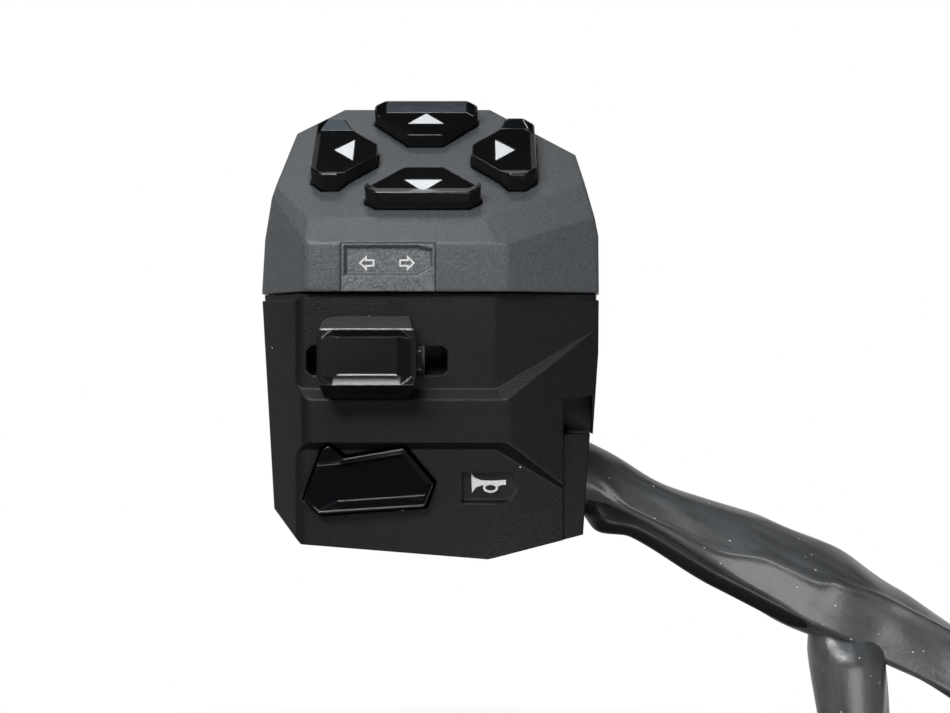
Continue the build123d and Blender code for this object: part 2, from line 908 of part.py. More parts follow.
# Insert with the turn arrows
icon_recess_points = [
    (icon_recess_left_x, icon_recess_low_z),
    (icon_recess_right_x - icon_corner_x, icon_recess_low_z),
    (icon_recess_right_x, icon_recess_low_z + icon_low_corner_z),
    (icon_recess_right_x, icon_recess_top_z - icon_top_corner_z),
    (icon_recess_right_x - icon_corner_x, icon_recess_top_z),
    (icon_recess_left_x, icon_recess_top_z),
]
icon_recess = dish_space(
    icon_recess_points,
    [icon_wall_run] * len(icon_recess_points),
    case_front - icon_recess_depth,
    icon_recess_depth,
    0,
)
with BuildPart() as turn_icon_insert:
    add(block(icon_left_x, icon_right_x, -case_front, icon_thickness - case_front, 0, icon_top_z))
    add(placed(icon_recess, front_plane), mode=Mode.SUBTRACT)
save(turn_icon_insert, "turn_icon_insert")

arrow_back = case_front - icon_recess_depth
with BuildPart() as turn_icon_arrows:
    for start, width in ((arrow_left_x, arrow_width), (arrow_right_x, -arrow_width)):
        arrow = spread(arrow_shares, start, width, arrow_z, arrow_height)
        outer = prism(arrow, arrow_back, arrow_back + print_thickness)
        inner = prism(arrow, arrow_back, arrow_back + print_thickness, -arrow_line)
        add(placed(outer - inner, front_plane))
save(turn_icon_arrows, "turn_icon_arrows")

# Buttons, their arrows and domes
with BuildPart() as up_button:
    add(placed(button_form(up_points, tall_runs, up_triangle), up_frame))
save(up_button, "up_button")

with BuildPart() as down_button:
    add(placed(button_form(down_points, tall_runs, down_triangle), down_frame))
save(down_button, "down_button")

with BuildPart() as left_button:
    add(placed(button_form(side_points, side_runs, side_triangle), left_frame))
save(left_button, "left_button")

with BuildPart() as right_button:
    add(placed(button_form(side_points, side_runs, side_triangle), right_frame))
save(right_button, "right_button")

with BuildPart() as up_arrow:
    add(placed(prism(up_triangle, button_rise - inlay_depth, button_rise), up_frame))
save(up_arrow, "up_arrow")

with BuildPart() as down_arrow:
    add(placed(prism(down_triangle, button_rise - inlay_depth, button_rise), down_frame))
save(down_arrow, "down_arrow")

with BuildPart() as left_arrow:
    add(placed(prism(side_triangle, button_rise - inlay_depth, button_rise), left_frame))
save(left_arrow, "left_arrow")

with BuildPart() as right_arrow:
    add(placed(prism(side_triangle, button_rise - inlay_depth, button_rise), right_frame))
save(right_arrow, "right_arrow")

with BuildPart() as up_dome:
    add(placed(dome_form(dome_tall_place), up_frame))
save(up_dome, "up_dome")

with BuildPart() as down_dome:
    add(placed(dome_form(dome_tall_place), down_frame))
save(down_dome, "down_dome")

with BuildPart() as left_dome:
    add(placed(dome_form(dome_side_place), left_frame))
save(left_dome, "left_dome")

with BuildPart() as right_dome:
    add(placed(dome_form(dome_side_place), right_frame))
save(right_dome, "right_dome")

# Keypad: silicone mat, circuit board, its screws and header
board_points = [
    (board_left_x + board_low_left_cut, board_low_v),
    (board_right_x - board_low_right_cut, board_low_v),
    (board_right_x, board_low_v + board_low_right_cut),
    (board_right_x, board_high_v - board_high_right_cut),
    (board_right_x - board_high_right_cut, board_high_v),
    (board_left_x + board_high_left_cut, board_high_v),
    (board_left_x, board_high_v - board_high_left_cut),
    (board_left_x, board_low_v + board_low_left_cut),
]
dome_places = [
    (cross_x, cross_v + dome_tall_place),
    (cross_x, cross_v - dome_tall_place),
    (cross_x - dome_side_place, cross_v),
    (cross_x + dome_side_place, cross_v),
]
mat_low = -mat_top_depth - mat_thickness
mat_form = prism(board_points, mat_low, -mat_top_depth, -mat_inset)
for u, v in dome_places:
    mat_form = mat_form - rod((u, v, mat_low), (0, 0, 1), dome_radius + dome_clearance, mat_thickness)
for u, v in board_screw_places:
    hole_radius = board_boss_radius + board_boss_clearance
    mat_form = mat_form - rod((u, v, mat_low), (0, 0, 1), hole_radius, mat_thickness)
with BuildPart() as keypad_mat:
    add(placed(mat_form, pad_plane))
save(keypad_mat, "keypad_mat")

board_form = prism(board_points, board_bottom, board_bottom + board_thickness)
for u, v in board_screw_places:
    hole_radius = board_screw_radius + board_hole_clearance
    board_form = board_form - rod((u, v, board_bottom), (0, 0, 1), hole_radius, board_thickness)
with BuildPart() as keypad_board:
    add(placed(board_form, pad_plane))
save(keypad_board, "keypad_board")

board_screw = cap_screw(
    board_screw_radius, board_screw_length, board_screw_head_radius, board_screw_head_height
)
with BuildPart() as board_screws:
    for u, v in board_screw_places:
        add(placed(board_screw.moved(Location((u, v, board_bottom))), pad_plane))
save(board_screws, "board_screws")

header_form = block(
    header_x - header_width / 2,
    header_x + header_width / 2,
    header_v - header_depth / 2,
    header_v + header_depth / 2,
    board_bottom - header_height,
    board_bottom,
)
with BuildPart() as board_header:
    add(placed(header_form, pad_plane))
save(board_header, "board_header")

# Lower half of the housing
base_back = base_thickness - base_front
base_screw_places = [
    (x, z)
    for x in (base_screw_left_x, base_screw_right_x)
    for z in (base_screw_top_z, base_screw_low_z)
]
bracket_low_z = bracket_top_z - bracket_thickness
well_radius = screw_head_radius + well_clearance
hole_radius = screw_radius + screw_clearance
outlet_inner = outlet - outlet_direction * sheath_inside
hinge_ear_places = (
    hinge_left_x + hinge_lug_width + hinge_side_gap,
    hinge_right_x - hinge_lug_width - hinge_side_gap - hinge_ear_width,
)
lower_inside = saddle - block(-bar_reach, bar_reach, -bar_reach, bar_reach, -lip_gap, bar_reach)
front_screw = (front_screw_x, -screw_offset_y)
rear_screw = (rear_screw_x, screw_offset_y)
lower_inside = lower_inside + rod(
    (*front_screw, -lower_depth), (0, 0, 1), well_radius + boss_wall, lower_depth - parting_gap
)
lower_inside = lower_inside + rod(
    (*rear_screw, screw_seat_z), (0, 0, 1), hole_radius + boss_wall, -screw_seat_z - parting_gap
)
for x, z in base_screw_places:
    lower_inside = lower_inside + rod(
        (x, -base_front, z), (0, -1, 0), base_boss_radius, case_front - base_front
    )
lower_inside = lower_inside + rod(
    (bracket_screw_x, bracket_screw_y, bracket_top_z),
    (0, 0, 1),
    base_boss_radius,
    bracket_boss_top_z - bracket_top_z,
)
for left_x in (hinge_left_x, hinge_right_x - hinge_lug_width):
    lower_inside = lower_inside + block(
        left_x,
        left_x + hinge_lug_width,
        -case_front,
        hinge_y + hinge_ear_radius,
        hinge_z - hinge_ear_radius,
        hinge_z + hinge_ear_radius,
    )
lower_inside = lower_inside + block(
    notch_left_x - notch_wall,
    case_half_length,
    -case_front,
    notch_depth_y + notch_wall,
    notch_low_z - notch_wall,
    notch_high_z + notch_wall,
)
cradle_plane = Plane(
    origin=outlet - outlet_direction * tie_place, x_dir=(0, 1, 0), z_dir=outlet_direction
)
cradle_start = tie_width / 2 + cradle_gap
for low in (cradle_start, -cradle_start - cradle_thickness):
    cradle = block(
        -cradle_half_width, cradle_half_width, 0, lower_depth, low, low + cradle_thickness
    )
    lower_inside = lower_inside + placed(cradle, cradle_plane)
lower_inside = lower_inside & lower_outer
slot = prism(
    [
        (slot_left_x, slot_low_z + slot_corner),
        (slot_left_x + slot_corner, slot_low_z),
        (slot_right_x - slot_corner, slot_low_z),
        (slot_right_x, slot_low_z + slot_corner),
        (slot_right_x, slot_high_z - slot_corner),
        (slot_right_x - slot_corner, slot_high_z),
        (slot_left_x + slot_corner, slot_high_z),
        (slot_left_x, slot_high_z - slot_corner),
    ],
    horn_back,
    case_front + overrun,
)
horn_width = horn_right_x - horn_left_x
horn_height = horn_high_z - horn_low_z
horn_points = spread(horn_shares, horn_left_x, horn_width, horn_low_z, horn_height)
horn_opening = prism(horn_points, horn_back - horn_sink, case_front + overrun, horn_gap)
horn_icon_points = [
    (horn_icon_left_x, horn_icon_low_z),
    (horn_icon_right_x - horn_icon_corner_x, horn_icon_low_z),
    (horn_icon_right_x, horn_icon_low_z + horn_icon_corner_z),
    (horn_icon_right_x, horn_icon_top_z - horn_icon_corner_z),
    (horn_icon_right_x - horn_icon_corner_x, horn_icon_top_z),
    (horn_icon_left_x, horn_icon_top_z),
]
horn_icon_floor = lower_front - horn_icon_depth
horn_icon_recess = dish_space(
    horn_icon_points,
    (horn_icon_run, horn_icon_run, 0, 0, 0, 0),
    horn_icon_floor,
    horn_icon_depth,
    0,
) & prism(horn_icon_points, horn_icon_floor, case_front + overrun)
hinge_pocket = block(
    hinge_left_x + hinge_lug_width,
    hinge_right_x - hinge_lug_width,
    hinge_y - hinge_ear_radius - hinge_room,
    0,
    hinge_z - hinge_ear_radius,
    hinge_z + hinge_ear_radius + hinge_room,
)
for left_x in hinge_ear_places:
    hinge_pocket = hinge_pocket + block(
        left_x - hinge_side_gap,
        left_x + hinge_ear_width + hinge_side_gap,
        hinge_y - hinge_ear_radius - hinge_room,
        0,
        hinge_room_low_z,
        hinge_z,
    )
hinge_pocket = hinge_pocket & block(-bar_reach, bar_reach, -case_front, -horn_back, -bar_reach, 0)
notch_space = block(
    notch_left_x, notch_right_x, -case_front - overrun, notch_depth_y, notch_low_z, notch_high_z
)
relief_space = block(
    notch_left_x,
    case_half_length + overrun,
    -case_front - overrun,
    right_corner_depth - case_front,
    -lower_depth - overrun,
    notch_low_z,
) - plan_prism(low_plan_points(), relief_depth, -lower_depth - 2 * overrun, 0)
hinge_pin = rod(
    (hinge_left_x, hinge_y, hinge_z), (1, 0, 0), hinge_pin_radius, hinge_right_x - hinge_left_x
)
outlet_reach = 2 * (sheath_radius + grommet_wall)
grommet_radius = sheath_radius + grommet_wall
outlet_hole = rod(
    outlet - outlet_direction * outlet_reach / 2,
    outlet_direction,
    grommet_radius + grommet_gap,
    outlet_reach,
)
sheath_space = rod(outlet_inner, outlet_direction, sheath_radius, sheath_inside)
with BuildPart() as lower_case:
    add(lower_outer - lower_hollow)
    add(lower_inside)
    add(bar_bore, mode=Mode.SUBTRACT)
    add(placed(slot, front_plane), mode=Mode.SUBTRACT)
    add(placed(horn_opening, front_plane), mode=Mode.SUBTRACT)
    add(placed(horn_icon_recess, front_plane), mode=Mode.SUBTRACT)
    add(hinge_pocket, mode=Mode.SUBTRACT)
    add(hinge_pin, mode=Mode.SUBTRACT)
    add(notch_space, mode=Mode.SUBTRACT)
    add(relief_space, mode=Mode.SUBTRACT)
    add(outlet_hole, mode=Mode.SUBTRACT)
    add(sheath_space, mode=Mode.SUBTRACT)
    for x, y in screw_places:
        shank = rod((x, y, screw_seat_z), (0, 0, 1), hole_radius, case_front)
        add(shank, mode=Mode.SUBTRACT)
        well = rod((x, y, screw_seat_z), (0, 0, -1), well_radius, lower_depth)
        add(well, mode=Mode.SUBTRACT)
    for x, z in base_screw_places:
        pilot_length = base_screw_length - base_thickness
        pilot = rod((x, -base_front, z), (0, -1, 0), base_screw_radius, pilot_length)
        add(pilot, mode=Mode.SUBTRACT)
    bracket_hole = rod(
        (bracket_screw_x, bracket_screw_y, bracket_top_z),
        (0, 0, 1),
        base_screw_radius,
        base_screw_length - bracket_thickness,
    )
    add(bracket_hole, mode=Mode.SUBTRACT)
save(lower_case, "lower_case")

with BuildPart() as horn_pin:
    add(hinge_pin)
save(horn_pin, "horn_pin")

# Horn symbol
trumpet_points = spread(
    trumpet_shares, symbol_left_x, symbol_width, symbol_top_z, symbol_height
)
coil_x = symbol_left_x + coil_place_shares[0] * symbol_width
coil_z = symbol_top_z + coil_place_shares[1] * symbol_height
with BuildPart() as horn_icon:
    with BuildSketch(front_plane.offset(horn_icon_floor)):
        with BuildLine():
            Polyline(*trumpet_points, close=True)
        make_face()
        with Locations((coil_x, coil_z)):
            Ellipse(coil_half_width, coil_half_height)
            Ellipse(
                coil_half_width - coil_line, coil_half_height - coil_line, mode=Mode.SUBTRACT
            )
    extrude(amount=print_thickness)
save(horn_icon, "horn_icon")

# Thumb slide: knob, neck through the slot and tongue into the carriage
knob_points = [
    (knob_x + across * knob_half_width, knob_z + up * knob_half_height)
    for across, up in knob_shares
]
knob_run = Vector(knob_half_width, 0, 0)
knob_high = Vector(knob_x, knob_z + knob_half_height, knob_front - knob_bevel_depth)
knob_high_front = knob_high + Vector(0, -knob_bevel_height, knob_bevel_depth)
knob_low = Vector(knob_x, knob_z - knob_half_height, knob_front - knob_bevel_depth)
knob_low_front = knob_low + Vector(0, knob_bevel_height, knob_bevel_depth)
knob_bevels = [
    three_point_plane(knob_high, knob_high + knob_run, knob_high_front),
    three_point_plane(knob_low, knob_low + knob_run, knob_low_front),
]
knob_dish_left = knob_x - knob_dish_half_width
knob_dish_right = knob_x + knob_dish_half_width
knob_dish_points = [
    (knob_dish_left, knob_z - knob_dish_low + knob_dish_corner_z),
    (knob_dish_left + knob_dish_corner_x, knob_z - knob_dish_low),
    (knob_dish_right - knob_dish_corner_x, knob_z - knob_dish_low),
    (knob_dish_right, knob_z - knob_dish_low + knob_dish_corner_z),
    (knob_dish_right, knob_z + knob_dish_top - knob_dish_corner_z),
    (knob_dish_right - knob_dish_corner_x, knob_z + knob_dish_top),
    (knob_dish_left + knob_dish_corner_x, knob_z + knob_dish_top),
    (knob_dish_left, knob_z + knob_dish_top - knob_dish_corner_z),
]
knob_dish_runs = (
    knob_corner_run,
    knob_low_run,
    knob_corner_run,
    knob_side_run,
    knob_corner_run,
    knob_top_run,
    knob_corner_run,
    knob_side_run,
)
knob_dish = dish_space(
    knob_dish_points,
    knob_dish_runs,
    knob_front - knob_dish_depth,
    knob_dish_depth,
    0,
)
neck_mid_z = (slot_low_z + slot_high_z) / 2
with BuildPart(mode=Mode.PRIVATE) as knob_head:
    with BuildSketch(Plane.XY.offset(knob_back)):
        with BuildLine():
            Polyline(*knob_points, close=True)
        make_face()
    extrude(amount=knob_front - knob_back)
    fillet(knob_head.edges().filter_by(Axis.Z), radius=knob_corner_radius)
knob_solid = bounded(knob_head.part, knob_bevels) - knob_dish
tongue = prism(
    [
        (-neck_back, tongue_low_z),
        (-tongue_end - tongue_ramp, tongue_low_z),
        (-tongue_end, tongue_low_z + tongue_ramp),
        (-tongue_end, tongue_top_z),
        (-neck_back, tongue_top_z),
    ],
    knob_x - tongue_half_width,
    knob_x + tongue_half_width,
)
side_plane = Plane(origin=(0, 0, 0), x_dir=(0, 1, 0), z_dir=(1, 0, 0))
with BuildPart() as turn_knob:
    add(placed(knob_solid, front_plane))
    add(
        block(
            knob_x - neck_left,
            knob_x + neck_right,
            -knob_back,
            -neck_back,
            neck_mid_z - neck_half_height,
            neck_mid_z + neck_half_height,
        )
    )
    add(placed(tongue, side_plane))
save(turn_knob, "turn_knob")

# Push to cancel: plunger under the ramp of the tongue, and its spring
plunger_front = -tongue_end - tongue_ramp + running_gap / 2
plunger_top_z = tongue_low_z + tongue_ramp - running_gap
plunger_step_z = tongue_low_z - running_gap
plunger_points = [
    (plunger_front, plunger_low_z),
    (-plunger_back, plunger_low_z),
    (-plunger_back, plunger_top_z),
    (plunger_front + tongue_ramp, plunger_top_z),
    (plunger_front, plunger_step_z),
]
plunger = prism(plunger_points, knob_x - plunger_half_width, knob_x + plunger_half_width)
plunger_mid_y = (plunger_front - plunger_back) / 2
with BuildPart() as cancel_plunger:
    add(placed(plunger, side_plane))
save(cancel_plunger, "cancel_plunger")

cancel_seat = Vector(knob_x, plunger_mid_y, cancel_seat_z)
with BuildPart() as cancel_spring:
    add(
        coil(
            cancel_seat,
            cancel_radius,
            cancel_wire,
            cancel_turns,
            plunger_low_z - cancel_seat_z,
        )
    )
save(cancel_spring, "cancel_spring")

# Carriage that slides along the base
carriage_block = prism(
    [
        (knob_x - carriage_half_width, -carriage_front + carriage_corner),
        (knob_x - carriage_half_width + carriage_corner, -carriage_front),
        (knob_x + carriage_half_width, -carriage_front),
        (knob_x + carriage_half_width, -carriage_back),
        (knob_x - carriage_half_width, -carriage_back),
    ],
    carriage_low_z,
    carriage_top_z,
)
tongue_bore = block(
    knob_x - tongue_half_width - running_gap,
    knob_x + tongue_half_width + running_gap,
    -carriage_front - overrun,
    -bore_end,
    tongue_low_z - running_gap,
    tongue_top_z + running_gap,
)
plunger_bore = block(
    knob_x - plunger_half_width - running_gap,
    knob_x + plunger_half_width + running_gap,
    plunger_front - running_gap,
    running_gap - plunger_back,
    cancel_seat_z,
    tongue_low_z,
)
leaf_notch = prism(
    [
        (knob_x - notch_half_low, leaf_notch_low_z),
        (knob_x + notch_half_low, leaf_notch_low_z),
        (knob_x + notch_half_top, carriage_top_z),
        (knob_x - notch_half_top, carriage_top_z),
    ],
    0,
    case_front,
)
bridge_x = knob_x + bridge_offset
bridge_mid_z = (carriage_top_z + carriage_low_z) / 2
bridge_form = block(
    bridge_x - bridge_width / 2,
    bridge_x + bridge_width / 2,
    -base_front - contact_gap - bridge_thickness,
    -base_front - contact_gap,
    bridge_mid_z - bridge_height / 2,
    bridge_mid_z + bridge_height / 2,
)
with BuildPart() as turn_carriage:
    add(carriage_block)
    add(tongue_bore, mode=Mode.SUBTRACT)
    add(plunger_bore, mode=Mode.SUBTRACT)
    add(placed(leaf_notch, front_plane), mode=Mode.SUBTRACT)
    add(bridge_form, mode=Mode.SUBTRACT)
save(turn_carriage, "turn_carriage")

with BuildPart() as turn_bridge:
    add(bridge_form)
save(turn_bridge, "turn_bridge")

# Base with its rails, contact strips, leaf spring and screws
strip_forms = [
    block(
        bridge_x - strip_half_length,
        bridge_x + strip_half_length,
        -base_front,
        strip_thickness - base_front,
        bridge_mid_z + step * strip_pitch - strip_width / 2,
        bridge_mid_z + step * strip_pitch + strip_width / 2,
    )
    for step in (-1, 0, 1)
]
with BuildPart() as turn_base:
    add(block(base_left_x, base_right_x, -base_front, base_back, base_low_z, base_top_z))
    for low, high in (
        (carriage_top_z + rail_gap, upper_rail_z),
        (lower_rail_z, carriage_low_z - rail_gap),
    ):
        add(block(rail_left_x, rail_right_x, -carriage_front, -base_front, low, high))
    add(
        block(
            knob_x - leaf_half_length - leaf_room,
            knob_x + leaf_half_length + leaf_room,
            leaf_y - leaf_width / 2 - leaf_room,
            leaf_y + leaf_width / 2 + leaf_room,
            carriage_top_z,
            leaf_top_z,
        ),
        mode=Mode.SUBTRACT,
    )
    for strip in strip_forms:
        add(strip, mode=Mode.SUBTRACT)
    for x, z in base_screw_places:
        base_hole = rod((x, base_back, z), (0, -1, 0), base_screw_radius, base_thickness)
        add(base_hole, mode=Mode.SUBTRACT)
save(turn_base, "turn_base")

with BuildPart() as turn_contacts:
    for strip in strip_forms:
        add(strip)
save(turn_contacts, "turn_contacts")

leaf_points = [
    (knob_x - leaf_half_length, leaf_top_z),
    (knob_x - leaf_half_length, leaf_top_z - leaf_thickness),
    (knob_x - leaf_half_top, leaf_top_z - leaf_thickness),
    (knob_x - leaf_half_low, leaf_low_z),
    (knob_x + leaf_half_low, leaf_low_z),
    (knob_x + leaf_half_top, leaf_top_z - leaf_thickness),
    (knob_x + leaf_half_length, leaf_top_z - leaf_thickness),
    (knob_x + leaf_half_length, leaf_top_z),
    (knob_x + leaf_half_top - leaf_thickness / 2, leaf_top_z),
    (knob_x + leaf_half_low - leaf_thickness / 2, leaf_low_z + leaf_thickness),
    (knob_x - leaf_half_low + leaf_thickness / 2, leaf_low_z + leaf_thickness),
    (knob_x - leaf_half_top + leaf_thickness / 2, leaf_top_z),
]
leaf_form = prism(leaf_points, -leaf_y - leaf_width / 2, -leaf_y + leaf_width / 2)
with BuildPart() as turn_spring:
    add(placed(leaf_form, front_plane))
save(turn_spring, "turn_spring")

base_screw = cap_screw(
    base_screw_radius, base_screw_length, base_screw_head_radius, base_screw_head_height
)
with BuildPart() as turn_base_screws:
    for x, z in base_screw_places:
        seat = Plane(origin=(x, base_back, z), x_dir=(1, 0, 0), z_dir=(0, -1, 0))
        add(placed(base_screw, seat))
save(turn_base_screws, "turn_base_screws")

# Horn button with its hinge ears and the arm to the spring
horn_dish_points = spread(
    horn_dish_shares, horn_left_x, horn_width, horn_low_z, horn_height
)
horn_dish = dish_space(
    horn_dish_points,
    (horn_lip_run, horn_edge_run, horn_edge_run, horn_edge_run, horn_wing_run),
    horn_front - horn_dish_depth,
    horn_dish_depth,
)
with BuildPart(mode=Mode.PRIVATE) as horn_head:
    with BuildSketch(Plane.XY.offset(horn_back)):
        with BuildLine():
            Polyline(*horn_points, close=True)
        make_face()
    extrude(amount=horn_front - horn_back)
    fillet(horn_head.edges().filter_by(Axis.Z), radius=horn_corner_radius)
arm_points = [
    (-horn_back - hinge_ear_radius / 2, arm_foot_low_z),
    (-horn_back - hinge_ear_radius / 2, arm_foot_high_z),
    (-horn_back, arm_foot_high_z),
    (-arm_front, hinge_z - hinge_ear_radius),
    (-arm_front, arm_top_z),
    (-arm_end, arm_top_z),
    (-arm_end, arm_top_z - arm_thickness),
    (-arm_step, arm_top_z - arm_thickness),
    (-arm_step, arm_foot_low_z),
]
horn_arm = prism(arm_points, arm_x - arm_half_width, arm_x + arm_half_width)
hinge_hole = rod(
    (hinge_left_x, hinge_y, hinge_z),
    (1, 0, 0),
    hinge_pin_radius + running_gap,
    hinge_right_x - hinge_left_x,
)
with BuildPart() as horn_button:
    add(placed(horn_head.part - horn_dish, front_plane))
    add(placed(horn_arm, side_plane))
    for left_x in hinge_ear_places:
        add(
            rod(
                (left_x, hinge_y, hinge_z), (1, 0, 0), hinge_ear_radius, hinge_ear_width
            )
        )
        add(
            block(
                left_x,
                left_x + hinge_ear_width,
                hinge_y - hinge_ear_radius,
                -horn_back,
                hinge_ear_low_z,
                hinge_z,
            )
        )
    add(hinge_hole, mode=Mode.SUBTRACT)
save(horn_button, "horn_button")

# Bracket over the arm, its screw, the spring and the contacts
with BuildPart() as horn_bracket:
    add(
        block(
            bracket_left_x,
            bracket_right_x,
            -bracket_front,
            -bracket_back,
            bracket_low_z,
            bracket_top_z,
        )
    )
    bracket_bore = rod(
        (bracket_screw_x, bracket_screw_y, bracket_low_z),
        (0, 0, 1),
        base_screw_radius,
        bracket_thickness,
    )
    add(bracket_bore, mode=Mode.SUBTRACT)
save(horn_bracket, "horn_bracket")

with BuildPart() as horn_bracket_screw:
    add(base_screw.moved(Location((bracket_screw_x, bracket_screw_y, bracket_low_z))))
save(horn_bracket_screw, "horn_bracket_screw")

horn_spring_base = Vector(arm_x, horn_spring_y, arm_top_z)
with BuildPart() as horn_spring:
    add(
        coil(
            horn_spring_base,
            horn_spring_radius,
            horn_spring_wire,
            horn_spring_turns,
            bracket_low_z - arm_top_z,
        )
    )
save(horn_spring, "horn_spring")

contact_left_x = arm_x - contact_width / 2
contact_right_x = arm_x + contact_width / 2
with BuildPart() as horn_contact:
    add(
        block(
            contact_left_x,
            contact_right_x,
            -bracket_front - contact_thickness,
            -bracket_front,
            contact_low_z,
            contact_high_z,
        )
    )
    add(
        block(
            contact_left_x,
            contact_right_x,
            -contact_front,
            -bracket_front,
            contact_low_z,
            contact_low_z + contact_thickness,
        )
    )
save(horn_contact, "horn_contact")

with BuildPart() as horn_rivet:
    add(rod((arm_x, rivet_y, arm_top_z), (0, 0, 1), rivet_radius, rivet_height))
save(horn_rivet, "horn_rivet")


# Harness
def bend_radii(points):
    """Largest bend at each corner that still leaves a straight part of every run."""
    radii = []
    for before, corner, after in zip(points, points[1:], points[2:]):
        first = corner - before
        second = after - corner
        turn = math.radians(first.get_angle(second))
        shorter = min(first.length, second.length)
        radii.append(bend_share * shorter / math.tan(turn / 2))
    return radii


def hose(points, radius):
    """Round hose along straight runs joined by tangent arcs."""
    with BuildPart(mode=Mode.PRIVATE) as body:
        with BuildLine() as route:
            FilletPolyline(*points, radius=bend_radii(points))
        path = route.wires()[0]
        with BuildSketch(Plane(origin=path @ 0, z_dir=path % 0)):
            Circle(radius)
        sweep(path=path)
    length = path.length
    share = body.part.volume / (math.pi * radius**2 * length)
    print("hose", length, share, [round(bend / radius / 2, 1) for bend in bend_radii(points)])
    return body.part


def route_points(shares):
    """Points of a harness route, from their shares of the span."""
    return [outlet + Vector(*share) * harness_span for share in shares]


def wire_bundle(top, length):
    """Seven straight wires hanging from a point: one in the middle and six around it."""
    with BuildPart(mode=Mode.PRIVATE) as bundle:
        with BuildSketch(Plane(origin=top, z_dir=(0, 0, -1))):
            Circle(wire_radius)
            with PolarLocations(wire_pitch, 6):
                Circle(wire_radius)
        extrude(amount=length)
    return bundle.part


def connector(top, width, depth, height):
    """Connector housing that hangs from a point, with rounded upright edges."""
    with BuildPart(mode=Mode.PRIVATE) as shell:
        with BuildSketch(Plane.XY.offset(top.Z - height)):
            with Locations((top.X, top.Y)):
                RectangleRounded(width, depth, plug_corner_radius)
        extrude(amount=height)
    return shell.part


def latch(top, depth, height):
    """Locking lever on the front of a connector."""
    lever_height = height * latch_height_share
    rest = (height - lever_height) / 2
    return block(
        top.X - latch_width / 2,
        top.X + latch_width / 2,
        top.Y - depth / 2 - latch_thickness,
        top.Y - depth / 2,
        top.Z - height + rest,
        top.Z - rest,
    )


first_bend = outlet + outlet_direction * first_straight
main_points = [outlet_inner, first_bend] + route_points(main_route_shares)
branch_points = route_points(branch_route_shares)
main_hose = hose(main_points, sheath_radius)
branch_hose = hose(branch_points, branch_radius) - main_hose
with BuildPart() as harness_main:
    add(main_hose)
save(harness_main, "harness_main")

with BuildPart() as harness_branch:
    add(branch_hose)
save(harness_branch, "harness_branch")

main_end = main_points[-1]
branch_end = branch_points[-1]
with BuildPart() as main_tape:
    add(tube(main_end, (0, 0, 1), sheath_radius + tape_wall, sheath_radius, tape_length))
save(main_tape, "main_tape")

with BuildPart() as branch_tape:
    add(tube(branch_end, (0, 0, 1), branch_radius + tape_wall, branch_radius, tape_length))
save(branch_tape, "branch_tape")

with BuildPart() as main_wires:
    add(wire_bundle(main_end, main_wire_length))
save(main_wires, "main_wires")

with BuildPart() as branch_wires:
    add(wire_bundle(branch_end, branch_wire_length))
save(branch_wires, "branch_wires")

main_plug_top = main_end - Vector(0, 0, main_wire_length)
with BuildPart() as main_connector:
    add(connector(main_plug_top, plug_width, plug_depth, plug_height))
save(main_connector, "main_connector")

with BuildPart() as main_latch:
    add(latch(main_plug_top, plug_depth, plug_height))
save(main_latch, "main_latch")

branch_plug_top = branch_end - Vector(0, 0, branch_wire_length)
with BuildPart() as branch_connector:
    add(connector(branch_plug_top, small_plug_width, small_plug_depth, small_plug_height))
save(branch_connector, "branch_connector")

with BuildPart() as branch_latch:
    add(latch(branch_plug_top, small_plug_depth, small_plug_height))
save(branch_latch, "branch_latch")

# Grommet trimmed flush with the side wall, tie on its cradle, and the loom from the keypad
grommet_start = outlet - outlet_direction * grommet_flange_place
grommet_form = tube(
    grommet_start, outlet_direction, grommet_radius, sheath_radius, outlet_reach
)
grommet_form = grommet_form + tube(
    grommet_start,
    outlet_direction,
    grommet_radius + grommet_flange,
    sheath_radius,
    grommet_flange_thickness,
)
with BuildPart() as harness_grommet:
    add(bounded(grommet_form, side_planes(grommet_gap, -side_lean_deg)[:1]))
save(harness_grommet, "harness_grommet")

tie_start = outlet - outlet_direction * (tie_place + tie_width / 2)
tie_plane = Plane(origin=tie_start, x_dir=(0, 1, 0), z_dir=outlet_direction)
tie_ring = rod((0, 0, 0), (0, 0, 1), sheath_radius + tie_wall, tie_width)
tie_block = block(
    -tie_head / 2, tie_head / 2, -sheath_radius - tie_head, 0, 0, tie_width
)
tie_form = tie_ring + tie_block - rod((0, 0, 0), (0, 0, 1), sheath_radius, tie_width)
with BuildPart() as harness_tie:
    add(placed(tie_form, tie_plane))
save(harness_tie, "harness_tie")

loom_depth = board_bottom - header_height / 2
loom_first = pad_point(header_x, header_v - header_depth / 2, loom_depth)
loom_points = [
    loom_first,
    loom_first - up_slope * loom_first_run,
    Vector(loom_x, loom_y, loom_high_z),
    Vector(loom_x, loom_y, loom_low_z),
    outlet - outlet_direction * loom_end,
]
with BuildPart() as inner_loom:
    add(hose(loom_points, loom_radius) - sheath_space)
save(inner_loom, "inner_loom")
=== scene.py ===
"""Handlebar switch cluster: its finishes, harness and studio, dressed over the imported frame.

Lengths are in metres in the frame of the part: X runs along the handlebar towards the middle of
the motorcycle, Y away from the rider and Z up. The origin is the centre of the handlebar bore.
"""

import math

import bmesh
import bpy
from mathutils import Matrix, Vector


